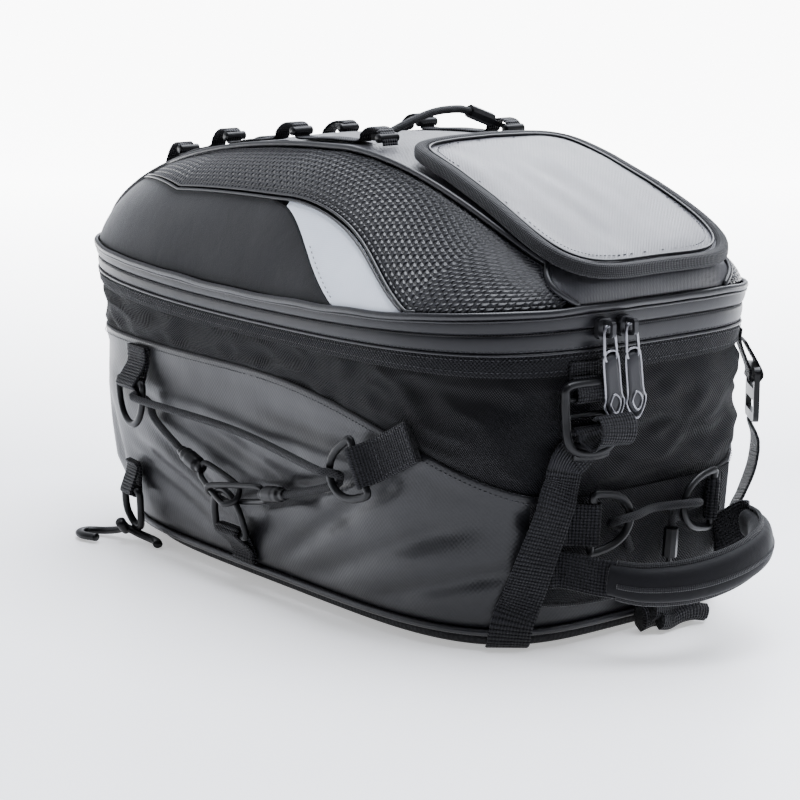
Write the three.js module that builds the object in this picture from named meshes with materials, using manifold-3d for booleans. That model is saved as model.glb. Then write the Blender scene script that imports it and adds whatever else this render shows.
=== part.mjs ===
// Expandable motorcycle tail bag. Millimetres, +Z up, +X to the rear (handle and zip pulls),
// origin on the ground under the middle of the base.
import * as THREE from 'three';
import { mergeVertices } from 'three/addons/utils/BufferGeometryUtils.js';
import Module from 'manifold-3d';

const wasm = await Module();
wasm.setup();

// Plan outline of the body by height: front and rear end, half width at the front and at the rear.
const bodyLevels = [
  { z: 0, front: -188, rear: 214, wf: 78, wr: 120 },
  { z: 18, front: -208, rear: 221, wf: 84, wr: 129 },
  { z: 50, front: -226, rear: 227, wf: 90, wr: 134 },
  { z: 100, front: -231, rear: 231, wf: 94, wr: 137 },
  { z: 165, front: -232, rear: 232, wf: 95, wr: 137 },
  { z: 202, front: -239, rear: 238, wf: 98, wr: 141 },
];
const frontPower = 4.2;
const rearPower = 3.8;
const taperPower = 1.2;
const halfLength = 238;

const webbing = 25; // width of the sewn webbing
const webThick = 1.6;
const cordRadius = 2.5;
const ringWire = 2.1;
const ringLift = 8.6; // from the wall to the middle of a ring's wire
const gap = 0.4; // between touching pieces
const ringSteps = 48; // steps round the bag

const group = new THREE.Group();

const finishes = {
  coated: [0x4a4a4c, 0.45, 0],
  twill: [0x25252b, 0.85, 0],
  mesh: [0x1b1b1d, 0.95, 0],
  tape: [0x55555a, 0.5, 0],
  piping: [0x505054, 0.5, 0],
  carbon: [0x303036, 0.35, 0],
  suede: [0x38383a, 0.9, 0],
  reflector: [0xd5dde6, 0.3, 0],
  silver: [0x8f8f90, 0.55, 0],
  webbing: [0x161617, 0.85, 0],
  plastic: [0x2c2c2e, 0.4, 0],
  cord: [0x202022, 0.7, 0],
  zinc: [0x8c8c90, 0.3, 1],
};

function add(name, finish, geometry) {
  const [color, roughness, metalness] = finishes[finish];
  const mesh = new THREE.Mesh(geometry, new THREE.MeshStandardMaterial({ color, roughness, metalness }));
  mesh.name = name;
  group.add(mesh);
}

// ---- solids -------------------------------------------------------------------------------

function solidFrom(points, triangles) {
  const geometry = new THREE.BufferGeometry();
  geometry.setAttribute('position', new THREE.Float32BufferAttribute(points.flatMap((p) => [p.x, p.y, p.z]), 3));
  geometry.setIndex(triangles.flat());
  return geometry;
}

// Rows of points, closed along the rows' order; each row is an open line between two shared
// poles, or a closed section when poles is false.
function turned(rows, poles) {
  const count = rows[0].length;
  const points = [];
  const index = rows.map(() => []);
  for (let j = 0; j < rows.length; j += 1) {
    for (let k = 0; k < count; k += 1) {
      const shared = poles && j > 0 && (k === 0 || k === count - 1);
      index[j][k] = shared ? index[0][k] : points.push(rows[j][k]) - 1;
    }
  }
  const triangles = [];
  const last = poles ? count - 1 : count;
  for (let j = 0; j < rows.length; j += 1) {
    const next = (j + 1) % rows.length;
    for (let k = 0; k < last; k += 1) {
      const up = (k + 1) % count;
      addQuad(triangles, index[j][k], index[next][k], index[next][up], index[j][up]);
    }
  }
  return solidFrom(points, triangles);
}

function addQuad(triangles, a, b, c, d) {
  if (a !== b && b !== c && a !== c) triangles.push([a, b, c]);
  if (a !== c && c !== d && a !== d) triangles.push([a, c, d]);
}

// A section carried along a path of points, each with its side and outward directions.
function swept(stations, section, closed) {
  const points = [];
  for (const { at, side, out } of stations) {
    for (const [a, b] of section) points.push(at.clone().addScaledVector(side, a).addScaledVector(out, b));
  }
  const n = section.length;
  const triangles = [];
  const last = closed ? stations.length : stations.length - 1;
  for (let j = 0; j < last; j += 1) {
    const here = j * n;
    const next = ((j + 1) % stations.length) * n;
    for (let k = 0; k < n; k += 1) {
      const up = (k + 1) % n;
      addQuad(triangles, here + k, here + up, next + up, next + k);
    }
  }
  const end = (stations.length - 1) * n;
  for (let k = 1; k < n - 1 && !closed; k += 1) {
    triangles.push([0, k + 1, k], [end, end + k, end + k + 1]);
  }
  return facingOut(solidFrom(points, triangles));
}

function volume(geometry) {
  const p = geometry.getAttribute('position');
  const index = geometry.getIndex().array;
  const corner = [new THREE.Vector3(), new THREE.Vector3(), new THREE.Vector3()];
  let sum = 0;
  for (let i = 0; i < index.length; i += 3) {
    corner.forEach((c, k) => c.fromBufferAttribute(p, index[i + k]));
    sum += corner[0].dot(corner[1].cross(corner[2])) / 6;
  }
  return sum;
}

function facingOut(geometry) {
  if (volume(geometry) < 0) {
    const index = geometry.getIndex().array;
    for (let i = 0; i < index.length; i += 3) [index[i], index[i + 1]] = [index[i + 1], index[i]];
  }
  return geometry;
}

function welded(geometry) {
  const bare = geometry.clone();
  bare.deleteAttribute('normal');
  bare.deleteAttribute('uv');
  return mergeVertices(bare, 1e-3);
}

function toManifold(geometry) {
  const merged = welded(geometry);
  const vertProperties = new Float32Array(merged.getAttribute('position').array);
  const triVerts = new Uint32Array(merged.getIndex().array);
  return new wasm.Manifold(new wasm.Mesh({ numProp: 3, vertProperties, triVerts }));
}

function joined(...geometries) {
  const whole = geometries.map(toManifold).reduce((a, b) => a.add(b));
  const mesh = whole.getMesh();
  const geometry = new THREE.BufferGeometry();
  geometry.setAttribute('position', new THREE.BufferAttribute(new Float32Array(mesh.vertProperties), 3));
  geometry.setIndex(new THREE.BufferAttribute(new Uint32Array(mesh.triVerts), 1));
  return geometry;
}

function circle(radius, sides) {
  return Array.from({ length: sides }, (_, k) => {
    const a = (2 * Math.PI * k) / sides;
    return [radius * Math.cos(a), radius * Math.sin(a)];
  });
}

function rectangle(width, thick) {
  return [[-width / 2, -thick / 2], [width / 2, -thick / 2], [width / 2, thick / 2], [-width / 2, thick / 2]];
}

// Stations along a smooth or straight-sided line, the side direction carried without twist.
function stationsAlong(points, steps, closed) {
  const curve = new THREE.CatmullRomCurve3(points, closed, 'centripetal');
  const line = steps ? curve.getSpacedPoints(steps) : points;
  if (closed && steps) line.pop();
  const count = line.length;
  let side = null;
  return line.map((at, j) => {
    const before = closed ? line[(j + count - 1) % count] : line[Math.max(j - 1, 0)];
    const after = closed ? line[(j + 1) % count] : line[Math.min(j + 1, count - 1)];
    const along = after.clone().sub(before).normalize();
    const start = Math.abs(along.z) < 0.9 ? new THREE.Vector3(0, 0, 1) : new THREE.Vector3(1, 0, 0);
    side = (side ?? start).clone().addScaledVector(along, -(side ?? start).dot(along)).normalize();
    return { at, side, out: side.clone().cross(along).negate() };
  });
}

function cord(points, radius, steps, sides = 8) {
  return swept(stationsAlong(points, steps, false), circle(radius, sides), false);
}

// ---- the body's outer surface --------------------------------------------------------------

const signedPower = (v, p) => Math.sign(v) * Math.abs(v) ** p;
const mix = (a, b, t) => a + (b - a) * t;
const clamp01 = (v) => Math.min(1, Math.max(0, v));

function planPoint(th, { front, rear, wf, wr }, nf = frontPower, nr = rearPower) {
  const n = Math.cos(th) < 0 ? nf : nr;
  const x = (front + rear) / 2 + ((rear - front) / 2) * signedPower(Math.cos(th), 2 / n);
  const u = clamp01((x - front) / (rear - front));
  return [x, mix(wf, wr, u ** taperPower) * signedPower(Math.sin(th), 2 / n)];
}

function levelAt(z, off) {
  const last = bodyLevels.length - 2;
  const k = Math.max(0, Math.min(last, bodyLevels.findIndex((l) => l.z > z) - 1));
  const i = z >= bodyLevels[last + 1].z ? last : k;
  const t = (z - bodyLevels[i].z) / (bodyLevels[i + 1].z - bodyLevels[i].z);
  const at = (key) => mix(bodyLevels[i][key], bodyLevels[i + 1][key], t);
  return { front: at('front') - off, rear: at('rear') + off, wf: at('wf') + off, wr: at('wr') + off };
}

function wallPoint(th, z, off = 0) {
  const [x, y] = planPoint(th, levelAt(z, off));
  return new THREE.Vector3(x, y, z);
}

// Local directions on the wall: along (towards +theta), up the wall, and out of it.
function wallFrame(th, z) {
  const along = wallPoint(th + 0.01, z).sub(wallPoint(th - 0.01, z)).normalize();
  const rise = wallPoint(th, z + 3).sub(wallPoint(th, z - 3)).normalize();
  const out = along.clone().cross(rise).normalize();
  return { origin: wallPoint(th, z), along, up: out.clone().cross(along), out };
}

function thetaWhere(target, axis, z, low, high) {
  let [a, b] = [low, high];
  const rising = wallPoint(b, z)[axis] > wallPoint(a, z)[axis];
  for (let i = 0; i < 40; i += 1) {
    const middle = (a + b) / 2;
    if (wallPoint(middle, z)[axis] < target === rising) a = middle;
    else b = middle;
  }
  return (a + b) / 2;
}

// side -1 is the near (lacing) side, +1 the far side
const sideFrame = (x, z, side) => wallFrame(thetaWhere(x, 'x', z, side * 0.02, side * (Math.PI - 0.02)), z);
const rearFrame = (y, z) => wallFrame(thetaWhere(y, 'y', z, -Math.PI / 2, Math.PI / 2), z);

function place(frame, a, b, n) {
  return frame.origin.clone().addScaledVector(frame.along, a).addScaledVector(frame.up, b)
    .addScaledVector(frame.out, n);
}

// The same frame turned in the wall's plane so that "along" points at an angle to the horizontal.
function turnedFrame(frame, degrees) {
  const a = THREE.MathUtils.degToRad(degrees);
  const along = frame.along.clone().multiplyScalar(Math.cos(a)).addScaledVector(frame.up, Math.sin(a));
  return { origin: frame.origin, along, up: frame.out.clone().cross(along), out: frame.out };
}

// Seam between the coated lower body and the gusset, and the edges of the zip band.
const seamZ = (x) => 142 - 54 * clamp01((x + 20) / 252) ** 2.3;
const bandBottom = (x) => 163 + 11 * clamp01(-x / halfLength) ** 2;
const bandTop = (x) => 201 - 12 * (1 - Math.min(1, (x / halfLength) ** 2));
const bandZ = (x, share) => mix(bandBottom(x), bandTop(x), share);

// Angles from a to b (degrees) whose points lie evenly along the bag's outline.
function spread(a, b, count) {
  const fine = Array.from({ length: 721 }, (_, i) => THREE.MathUtils.degToRad(mix(a, b, i / 720)));
  const lengths = [0];
  for (let i = 1; i <= 720; i += 1) {
    lengths.push(lengths[i - 1] + wallPoint(fine[i], 180).distanceTo(wallPoint(fine[i - 1], 180)));
  }
  return Array.from({ length: count + 1 }, (_, j) => {
    const target = (lengths[720] * j) / count;
    const i = Math.max(1, lengths.findIndex((l) => l >= target - 1e-9));
    const t = (target - lengths[i - 1]) / (lengths[i] - lengths[i - 1]);
    return mix(fine[i - 1], fine[i], t);
  });
}

const thetas = spread(-180, 180, ringSteps).slice(0, ringSteps);

// A closed band round the bag: each corner of its section is [height as a function of x, offset].
function band(corners) {
  const rows = thetas.map((th) => corners.map(([height, off]) => {
    const x = wallPoint(th, 150).x;
    return wallPoint(th, height(x), off);
  }));
  return turned(rows, false);
}

function bandBetween(low, high, outer, inner) {
  return band([[low, outer], [high, outer], [high, inner], [low, inner]]);
}

// ---- lower body ----------------------------------------------------------------------------

const padTop = 8;
const shellFoot = padTop + gap;
const shellWall = 4;

function basePad() {
  const rows = thetas.map((th) => [
    new THREE.Vector3(0, 0, 0),
    wallPoint(th, 0, -5),
    new THREE.Vector3(...planPoint(th, levelAt(0, -0.5)), 3),
    new THREE.Vector3(...planPoint(th, levelAt(0, 0)), padTop),
    new THREE.Vector3(0, 0, padTop),
  ]);
  add('base_mesh_pad', 'mesh', turned(rows, true));
}

function basePiping() {
  const low = () => shellFoot + 0.2;
  const high = () => shellFoot + 4.4;
  add('base_piping', 'piping', bandBetween(low, high, 3.6, gap));
}

function lowerShell() {
  const outer = [18, 50];
  const rows = thetas.map((th) => {
    const rim = seamZ(wallPoint(th, 120).x);
    return [
      new THREE.Vector3(0, 0, shellFoot),
      wallPoint(th, shellFoot, -2),
      ...outer.map((z) => wallPoint(th, z)),
      wallPoint(th, rim),
      wallPoint(th, rim, -shellWall),
      ...[...outer].reverse().map((z) => wallPoint(th, z, -shellWall)),
      wallPoint(th, shellFoot + shellWall, -shellWall - 1),
      new THREE.Vector3(0, 0, shellFoot + shellWall),
    ];
  });
  add('lower_shell', 'coated', turned(rows, true));
}

function gusset() {
  const low = (x) => seamZ(x) + gap;
  const high = (x) => bandBottom(x) - gap;
  add('gusset', 'twill', bandBetween(low, high, -1.2, -3.8));
}

// ---- rings, tabs and hooks -------------------------------------------------------------------

const ringHalf = 15;
const ringDepth = 24;

// D ring: straight bar through the frame's origin, the bow away from the tab (-1) or over it (+1).
function dRing(name, frame, towards = -1) {
  const line = [];
  for (let k = 0; k <= 10; k += 1) {
    const a = (Math.PI * k) / 10;
    line.push(place(frame, towards * ringDepth * Math.sin(a) ** 0.8, ringHalf * Math.cos(a), ringLift));
  }
  for (const b of [-10, 0, 10]) line.push(place(frame, 0, b, ringLift));
  add(name, 'plastic', swept(stationsAlong(line, 0, true), circle(ringWire, 6), true));
}

// Webbing folded round a ring's bar, both layers sewn down on the wall.
function tab(name, frame, length, width = webbing) {
  const fold = [];
  for (let k = 0; k <= 6; k += 1) {
    const a = Math.PI * (1.5 - k / 6);
    fold.push([3.8 * Math.cos(a), ringLift + 3.8 * Math.sin(a)]);
  }
  const reach = Math.min(13, length - 2);
  const path = [[length, 1.4], [reach, 1.4], ...fold, [reach, 3.5], [length, 3.5]];
  const stations = path.map(([a, n], j) => {
    const [a0, n0] = path[Math.max(j - 1, 0)];
    const [a1, n1] = path[Math.min(j + 1, path.length - 1)];
    const out = new THREE.Vector2(n1 - n0, -(a1 - a0)).normalize();
    const across = frame.along.clone().multiplyScalar(out.x).addScaledVector(frame.out, out.y);
    return { at: place(frame, a, 0, n), side: frame.up, out: across };
  });
  add(name, 'webbing', swept(stations, rectangle(width, webThick), false));
}

const hookBody = 20;

// Cord end with a moulded body and an open hook, lying along the frame's "along" direction.
function hook(name, frame, lift) {
  const body = [place(frame, 0, 0, lift), place(frame, hookBody, 0, lift)];
  const bow = [[hookBody - 3, lift], [hookBody + 5, ringLift + 4.5], [hookBody + 11, ringLift + 4.9],
    [hookBody + 17, ringLift + 3], [hookBody + 18, ringLift - 1.5], [hookBody + 14.5, ringLift - 3.9]];
  const wire = bow.map(([a, n]) => place(frame, a, 0, n));
  add(name, 'plastic', joined(cord(body, 4.4, 2, 8), cord(wire, 1.6, 10, 6)));
}

function frameBetween(from, to, out) {
  const along = to.clone().sub(from).normalize();
  const flat = out.clone().addScaledVector(along, -out.dot(along)).normalize();
  return { origin: from.clone(), along, up: flat.clone().cross(along), out: flat };
}

const lacing = {
  front: { x: -134, z: 114, turn: 90, tab: 24 },
  rear: { x: 124, z: 102, turn: 27, tab: 46 },
  middle: { x: -20, z: 36, turn: -90, tab: 22 },
};

function lacingFrame(key, side) {
  const { x, z, turn } = lacing[key];
  return turnedFrame(sideFrame(x, z, side), side < 0 ? turn : 180 - turn);
}

function lacingHardware(side, label) {
  for (const key of Object.keys(lacing)) {
    const frame = lacingFrame(key, side);
    tab(`tab_${key}_${label}`, frame, lacing[key].tab);
    const hangsOver = side > 0 && key === 'middle';
    dRing(`ring_${key}_${label}`, frame, hangsOver ? 1 : -1);
  }
}

// The elastic cord on the near side runs from one hook round both upper rings to the other hook.
function nearLacing() {
  const front = lacingFrame('front', -1);
  const rear = lacingFrame('rear', -1);
  const middle = lacingFrame('middle', -1);
  const over = ringLift + ringWire + cordRadius + gap;
  const under = ringLift - ringWire - cordRadius - gap;
  const leftCatch = place(middle, -21, 9, 0);
  const rightCatch = place(middle, -19, -11, 0);
  const start = sideFrame(-63, 76, -1);
  const end = sideFrame(38, 70, -1);
  const leftFrame = frameBetween(start.origin, leftCatch, start.out);
  const rightFrame = frameBetween(end.origin, rightCatch, end.out);
  const first = leftFrame.origin.clone().addScaledVector(leftFrame.out, 8);
  const last = rightFrame.origin.clone().addScaledVector(rightFrame.out, 8);
  const back = (frame, point) => point.clone().addScaledVector(frame.along, -gap);
  const middleRun = sideFrame(5, 103, -1);
  const line = [
    back(leftFrame, first), back(leftFrame, first).addScaledVector(leftFrame.along, -8),
    place(front, -25, -9, under - 1), place(front, -19, -2, under), place(front, -16.5, 3, ringLift),
    place(front, -19, -1, over), place(front, -18, -16, over),
    place(middleRun, 0, 0, 7),
    place(rear, -26, 8, over), place(rear, -20, 3, over), place(rear, -16.5, -1, ringLift),
    place(rear, -20, 0, under), place(rear, -30, -4, under),
    back(rightFrame, last).addScaledVector(rightFrame.along, -8), back(rightFrame, last),
  ];
  add('lacing_cord_near', 'cord', cord(line, cordRadius, 64));
  hook('lacing_hook_front_near', leftFrame, 8);
  hook('lacing_hook_rear_near', rightFrame, 8);
}

// ---- rear face -------------------------------------------------------------------------------

const rearRingY = 50;
const rearRingZ = 76;

function rearFace() {
  const rings = [];
  for (const [label, side] of [['near', -1], ['far', 1]]) {
    const frame = turnedFrame(rearFrame(side * rearRingY, rearRingZ), side < 0 ? 180 : 0);
    rings.push(frame);
    tab(`tab_rear_face_${label}`, frame, 15.5);
    dRing(`ring_rear_face_${label}`, frame);
  }
  const over = ringLift + ringWire + cordRadius + gap;
  const under = ringLift - ringWire - cordRadius - gap;
  const [near, far] = rings;
  const middle = rearFrame(0, rearRingZ + 2);
  const hang = rearFrame(16, 64);
  const line = [
    place(rearFrame(-14, 54), 0, 0, 4), place(near, -28, 9, under), place(near, -19, 4, under),
    place(near, -16.5, 1, ringLift), place(near, -20, -2, over), place(near, -30, -3, over),
    place(middle, 0, 0, 8), place(far, -30, 3, over), place(far, -20, 2, over),
    place(far, -16.5, -1, ringLift), place(far, -20, -4, under), place(far, -29, -8, under + 1),
    place(hang, 0, 9, 8), place(hang, 0, 0.6, 8),
  ];
  add('rear_cord', 'cord', cord(line, cordRadius, 44));
  const down = turnedFrame(rearFrame(16, 64 - gap), -90);
  const body = [place(down, 0.4, 0, 8), place(down, 18, 0, 8)];
  const bow = [[14, 8], [22, 8], [26, 10], [28, 14], [25, 17], [21, 16]].map(([a, n]) => place(down, a, 0, n));
  add('rear_cord_hook', 'plastic', joined(cord(body, 4.4, 2, 8), cord(bow, 1.6, 8, 6)));
}

const grip = { half: 10.5, thick: 7.5 };
const gripPath = [[253, -55, 47], [271, -43, 45], [285, -20, 46], [290, 8, 50], [285, 36, 55], [270, 56, 59],
  [252, 66, 61]];

function handle() {
  const points = gripPath.map((p) => new THREE.Vector3(...p));
  const section = circle(1, 10).map(([a, b]) => [a * grip.half, b * grip.thick]);
  add('handle_grip', 'webbing', swept(stationsAlong(points, 20, false), section, false));
  const ends = [['near', -1, points[0], points[1], 6.2], ['far', 1, points[6], points[5], 7.4]];
  for (const [label, side, end, inward, lift] of ends) {
    const away = end.clone().sub(inward).normalize();
    const wall = rearFrame(side * 69, 50);
    const line = [end.clone().addScaledVector(away, 1.6), end.clone().addScaledVector(away, 7),
      place(wall, side * -5, 0, lift), place(wall, side * 1, 0, lift - 2)];
    add(`handle_anchor_${label}`, 'webbing', swept(stationsAlong(line, 8, false), rectangle(20, 2.2), false));
  }
}

function strapOnWall(name, route, width, thick, before = []) {
  const onWall = route.map(([degrees, z, lift]) => {
    const frame = wallFrame(THREE.MathUtils.degToRad(degrees), z);
    return { at: place(frame, 0, 0, lift), frame };
  });
  const stations = [...before, ...onWall];
  const turnedStations = stations.map(({ at, frame }, j) => {
    const from = stations[Math.max(j - 1, 0)].at;
    const to = stations[Math.min(j + 1, stations.length - 1)].at;
    const along = to.clone().sub(from).normalize();
    const level = frame.along.clone().addScaledVector(along, -frame.along.dot(along)).normalize();
    return { at, side: level, out: along.clone().cross(level) };
  });
  add(name, 'webbing', swept(turnedStations, rectangle(width, thick), false));
}

const buckle = { width: 33, height: 34, thick: 3.6 };
const buckles = [{ label: 'near', th: -10, z: 140, lift: 5 }, { label: 'far', th: 36, z: 130, lift: 10 }];

function buckleFrame(th, z, lift) {
  const wall = wallFrame(THREE.MathUtils.degToRad(th), z);
  return { ...wall, origin: place(wall, 0, 0, lift) };
}

// Ladder lock: a flat frame with two slots and the bar between them.
function ladderLock(name, frame) {
  const shape = roundedShape(buckle.width, buckle.height, 4);
  for (const b of [-7.5, 7.5]) shape.holes.push(roundedShape(webbing + 1.5, 8, 1.5, b));
  add(name, 'plastic', placedPlate(shape, buckle.thick, frame));
}

function roundedShape(width, height, radius, lift = 0) {
  const [w, h] = [width / 2 - radius, height / 2 - radius];
  const shape = new THREE.Shape();
  const corners = [[w, h, 0], [-w, h, 1], [-w, -h, 2], [w, -h, 3]];
  for (const [x, y, k] of corners) {
    shape.absarc(x, y + lift, radius, (k * Math.PI) / 2, ((k + 1) * Math.PI) / 2, false);
  }
  return shape;
}

function placedPlate(shape, thick, frame) {
  const plate = new THREE.ExtrudeGeometry(shape, { depth: thick, bevelEnabled: false, curveSegments: 3 });
  const turn = new THREE.Matrix4().makeBasis(frame.along, frame.up, frame.out).setPosition(frame.origin);
  return welded(plate).applyMatrix4(turn);
}

function cornerStraps() {
  const lock = buckleFrame(buckles[0].th, buckles[0].z, buckles[0].lift);
  const threaded = [[15, -33, 9.5], [10, -30, 11.5], [4, -22, 11], [0, -13, 8], [0, -8.4, 6.4], [0, -7.4, 2],
    [0, -9, -1.6], [0, -18, -2.2]];
  strapOnWall('corner_strap_near',
    [[-14.4, 112, 3.6], [-16, 100, 4], [-18, 88, 7.2], [-20, 74, 7.2], [-22.5, 57, 5.6],
      [-24.5, 42, 5], [-26.5, 30, 2.6], [-29, 20, 2.6]], webbing, webThick,
    threaded.map(([a, b, n]) => ({ at: place(lock, a, b, n), frame: lock })));
  strapOnWall('corner_strap_far',
    [[36, 109, 12], [37, 99, 15], [36, 84, 14], [34, 68, 9], [32, 54, 3.2], [31, 36, 2.2], [30, 22, 2.4]],
    webbing, webThick);
  for (const { label, th, z, lift } of buckles) ladderLock(`buckle_${label}`, buckleFrame(th, z, lift));
}

// Stations whose side stays in the wall and square to the path.
function faced(points, frame) {
  return points.map((at, j) => {
    const before = points[Math.max(j - 1, 0)];
    const after = points[Math.min(j + 1, points.length - 1)];
    const along = after.clone().sub(before).normalize();
    const side = frame.out.clone().cross(along).normalize();
    return { at, side, out: along.clone().cross(side) };
  });
}

// ---- front mounting hook -----------------------------------------------------------------------

const frontMount = { x: -150, z: 40 };

// One moulding: a frame that hangs from the tab and an open hook that lies on the floor.
function frontHook() {
  const frame = turnedFrame(sideFrame(frontMount.x, frontMount.z, -1), 90);
  tab('tab_mount_front', frame, 18, 18);
  const half = 12;
  const foot = frame.origin.clone().addScaledVector(frame.out, ringLift + 7).setZ(3);
  const hung = [place(frame, 0, half, ringLift), place(frame, 0, -half, ringLift)];
  const lower = [-half, half].map((b) => foot.clone().addScaledVector(frame.up, b).setZ(3));
  const corners = [...hung, ...lower];
  const line = [];
  corners.forEach((corner, k) => {
    for (const t of [0.1, 0.5, 0.9]) line.push(corner.clone().lerp(corners[(k + 1) % 4], t));
  });
  const loop = swept(stationsAlong(line, 0, true), circle(ringWire, 6), true);
  const outline = [[-5, -12], [8, -12], [40, -12], [52, -6], [52, 6], [44, 12], [28, 12], [28, 7], [41, 7],
    [46, 3], [46, -3], [39, -7], [8, -7], [8, 8], [-5, 8]];
  const shape = new THREE.Shape(outline.map(([x, y]) => new THREE.Vector2(x, y)));
  const lie = new THREE.Vector3(-1, -0.2, 0).normalize();
  const flat = {
    along: lie,
    up: new THREE.Vector3(0, 0, 1).cross(lie).normalize(),
    out: new THREE.Vector3(0, 0, 1),
    origin: foot.clone().setZ(0.3),
  };
  add('mount_hook_front', 'plastic', joined(loop, placedPlate(shape, 5, flat)));
}

// Webbing that hangs each ladder lock from the cuff, folded through the lock's upper slot.
function buckleHangers() {
  return buckles.map(({ th, z, lift }) => {
    const frame = buckleFrame(th, z, lift);
    const top = 170 - z;
    const path = [[top, 1.4 - lift], [top - 9, 1.4 - lift], [12, -1.5], [1.5, -1.5]];
    const points = path.map(([b, n]) => place(frame, 0, b, n));
    return swept(faced(points, frame), rectangle(22, webThick), false);
  });
}

// ---- zip band ------------------------------------------------------------------------------------

const shares = { cuff: 0.34, lower: 0.67, upper: 0.94 };

function zipBand() {
  const at = (share, shift) => (x) => bandZ(x, share) + shift;
  const ring = bandBetween(at(0, 0), at(shares.cuff, -gap), 0.4, -3);
  add('cuff', 'webbing', joined(ring, ...buckleHangers()));
  add('zip_tape_lower', 'tape', bandBetween(at(shares.cuff, 0), at(shares.lower, -0.15), 0, -2.4));
  add('zip_tape_upper', 'tape', bandBetween(at(shares.lower, 0.3), at(shares.upper, -gap), 0, -2.4));
  add('lid_bead', 'piping', bandBetween(at(shares.upper, 0), at(1, 1.6), 1.2, -1.8));
}

const sliderPlaces = [['near', -47], ['far', -30]];

function zipPulls() {
  for (const [label, y] of sliderPlaces) {
    const z = bandZ(236, shares.lower);
    const x = wallPoint(thetaWhere(y, 'y', z, -1.4, 1.4), z).x;
    const frame = {
      origin: new THREE.Vector3(x + 2, y, z),
      along: new THREE.Vector3(0, 1, 0),
      up: new THREE.Vector3(0, 0, 1),
      out: new THREE.Vector3(1, 0, 0),
    };
    const body = placedPlate(roundedShape(11, 12, 3), 3.4, frame);
    const bridgeShape = roundedShape(9, 9.4, 2);
    bridgeShape.holes.push(roundedShape(5, 5.2, 1));
    const sideways = { along: frame.out, up: frame.up, out: frame.along.clone().negate() };
    const bridge = placedPlate(bridgeShape, 3, { ...sideways, origin: place(frame, 1.5, 0, 6.2) });
    add(`slider_${label}`, 'zinc', joined(body, bridge));
    const plate = pullShape();
    add(`pull_${label}`, 'zinc', placedPlate(plate, 1.8, { ...frame, origin: place(frame, 0, 0, 5.4) }));
  }
}

const pull = { top: 0.9, window: 15, length: 47, half: 6.5 };

function pullShape() {
  const { top, window: eye, length, half } = pull;
  const shape = new THREE.Shape();
  const outline = [[-4, top], [-5, 0], [-half, -eye], [-half, 8 - length], [-3, -length], [3, -length],
    [half, 8 - length], [half, -eye], [5, 0], [4, top]];
  outline.forEach(([x, y], k) => (k ? shape.lineTo(x, y) : shape.moveTo(x, y)));
  shape.closePath();
  const hole = new THREE.Path();
  const inner = [[-3, -0.9], [3, -0.9], [4.4, 2 - eye], [-4.4, 2 - eye]];
  inner.forEach(([x, y], k) => (k ? hole.lineTo(x, y) : hole.moveTo(x, y)));
  hole.closePath();
  shape.holes.push(hole);
  return shape;
}

// ---- lid --------------------------------------------------------------------------------------------

const beadEdge = { front: -235, rear: 233.5, wf: 94, wr: 137 };
const ridgeEdge = { front: -208, rear: 231, wf: 60, wr: 76 };
const ridgePeak = { x: 40, z: 276 };
const crown = 4;
const shellLift = -2.4; // outer face of the moulded shell under the panels
const lidWall = 3.6;

function ridgeZ(x) {
  if (x > ridgePeak.x) return ridgePeak.z - 68 * ((x - ridgePeak.x) / 198) ** 1.75;
  return ridgePeak.z - 50 * ((ridgePeak.x - x) / 280) ** 2.2;
}

// Lid surface: t is 0 at the bead, 1 on the ridge and 2 at the middle of the top.
function lidSurface(th, t) {
  const [rx, ry] = planPoint(th, ridgeEdge, 3, 7);
  if (t > 1) {
    const s = 2 - t;
    return new THREE.Vector3(rx * s, ry * s, ridgeZ(rx * s) + crown * (1 - s * s));
  }
  const [bx, by] = planPoint(th, beadEdge);
  const a = (t * Math.PI) / 2;
  const across = (t + 1 - Math.cos(a)) / 2;
  const rise = (t + Math.sin(a)) / 2;
  return new THREE.Vector3(mix(bx, rx, across), mix(by, ry, across), mix(bandTop(bx), ridgeZ(rx), rise));
}

function lidNormal(th, t) {
  if (t > 1.6) return new THREE.Vector3(0, 0, 1);
  const u = lidSurface(th + 0.02, t).sub(lidSurface(th - 0.02, t));
  const v = lidSurface(th, Math.min(t + 0.02, 2)).sub(lidSurface(th, Math.max(t - 0.02, 0)));
  return u.cross(v).normalize();
}

const lidPoint = (th, t, lift) => lidSurface(th, t).addScaledVector(lidNormal(th, t), lift);
const sideSteps = [0, 0.33, 0.66, 1];
const topSteps = [1.2, 1.5, 1.8];

function lidShell() {
  const steps = [...sideSteps, ...topSteps];
  const rows = thetas.map((th) => {
    const foot = bandZ(wallPoint(th, 150).x, shares.lower) + 0.5;
    const outer = steps.map((t) => lidPoint(th, t, shellLift));
    const inner = steps.map((t) => lidPoint(th, t, shellLift - lidWall)).reverse();
    const rim = (inset) => {
      const [x, y] = planPoint(th, levelAt(180, -inset));
      return new THREE.Vector3(x, y, foot);
    };
    const pole = (lift) => lidSurface(0, 2).add(new THREE.Vector3(0, 0, lift));
    return [pole(shellLift - lidWall), ...inner, rim(6.4), rim(3.2), ...outer, pole(shellLift)];
  });
  add('lid_shell', 'twill', turned(rows, true));
}

// Panel edges on the lid, as the share t between bead and ridge.
const degrees = THREE.MathUtils.radToDeg;
const frontEnd = 165;

function ridgeShare(th) {
  const a = Math.abs(degrees(th));
  if (a > 137) return clamp01((frontEnd - a) / (frontEnd - 137));
  if (a < 42) return clamp01((a - 12) / 30) ** 0.6;
  return 1;
}

// Clearance to the ridge piping, wider where the piping runs down to the bead.
const ridgeGap = (th) => 0.055 + 0.07 * Math.min(1, 8 * (1 - ridgeShare(th)));

const beadX = (th) => planPoint(th, beadEdge)[0];

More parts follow.
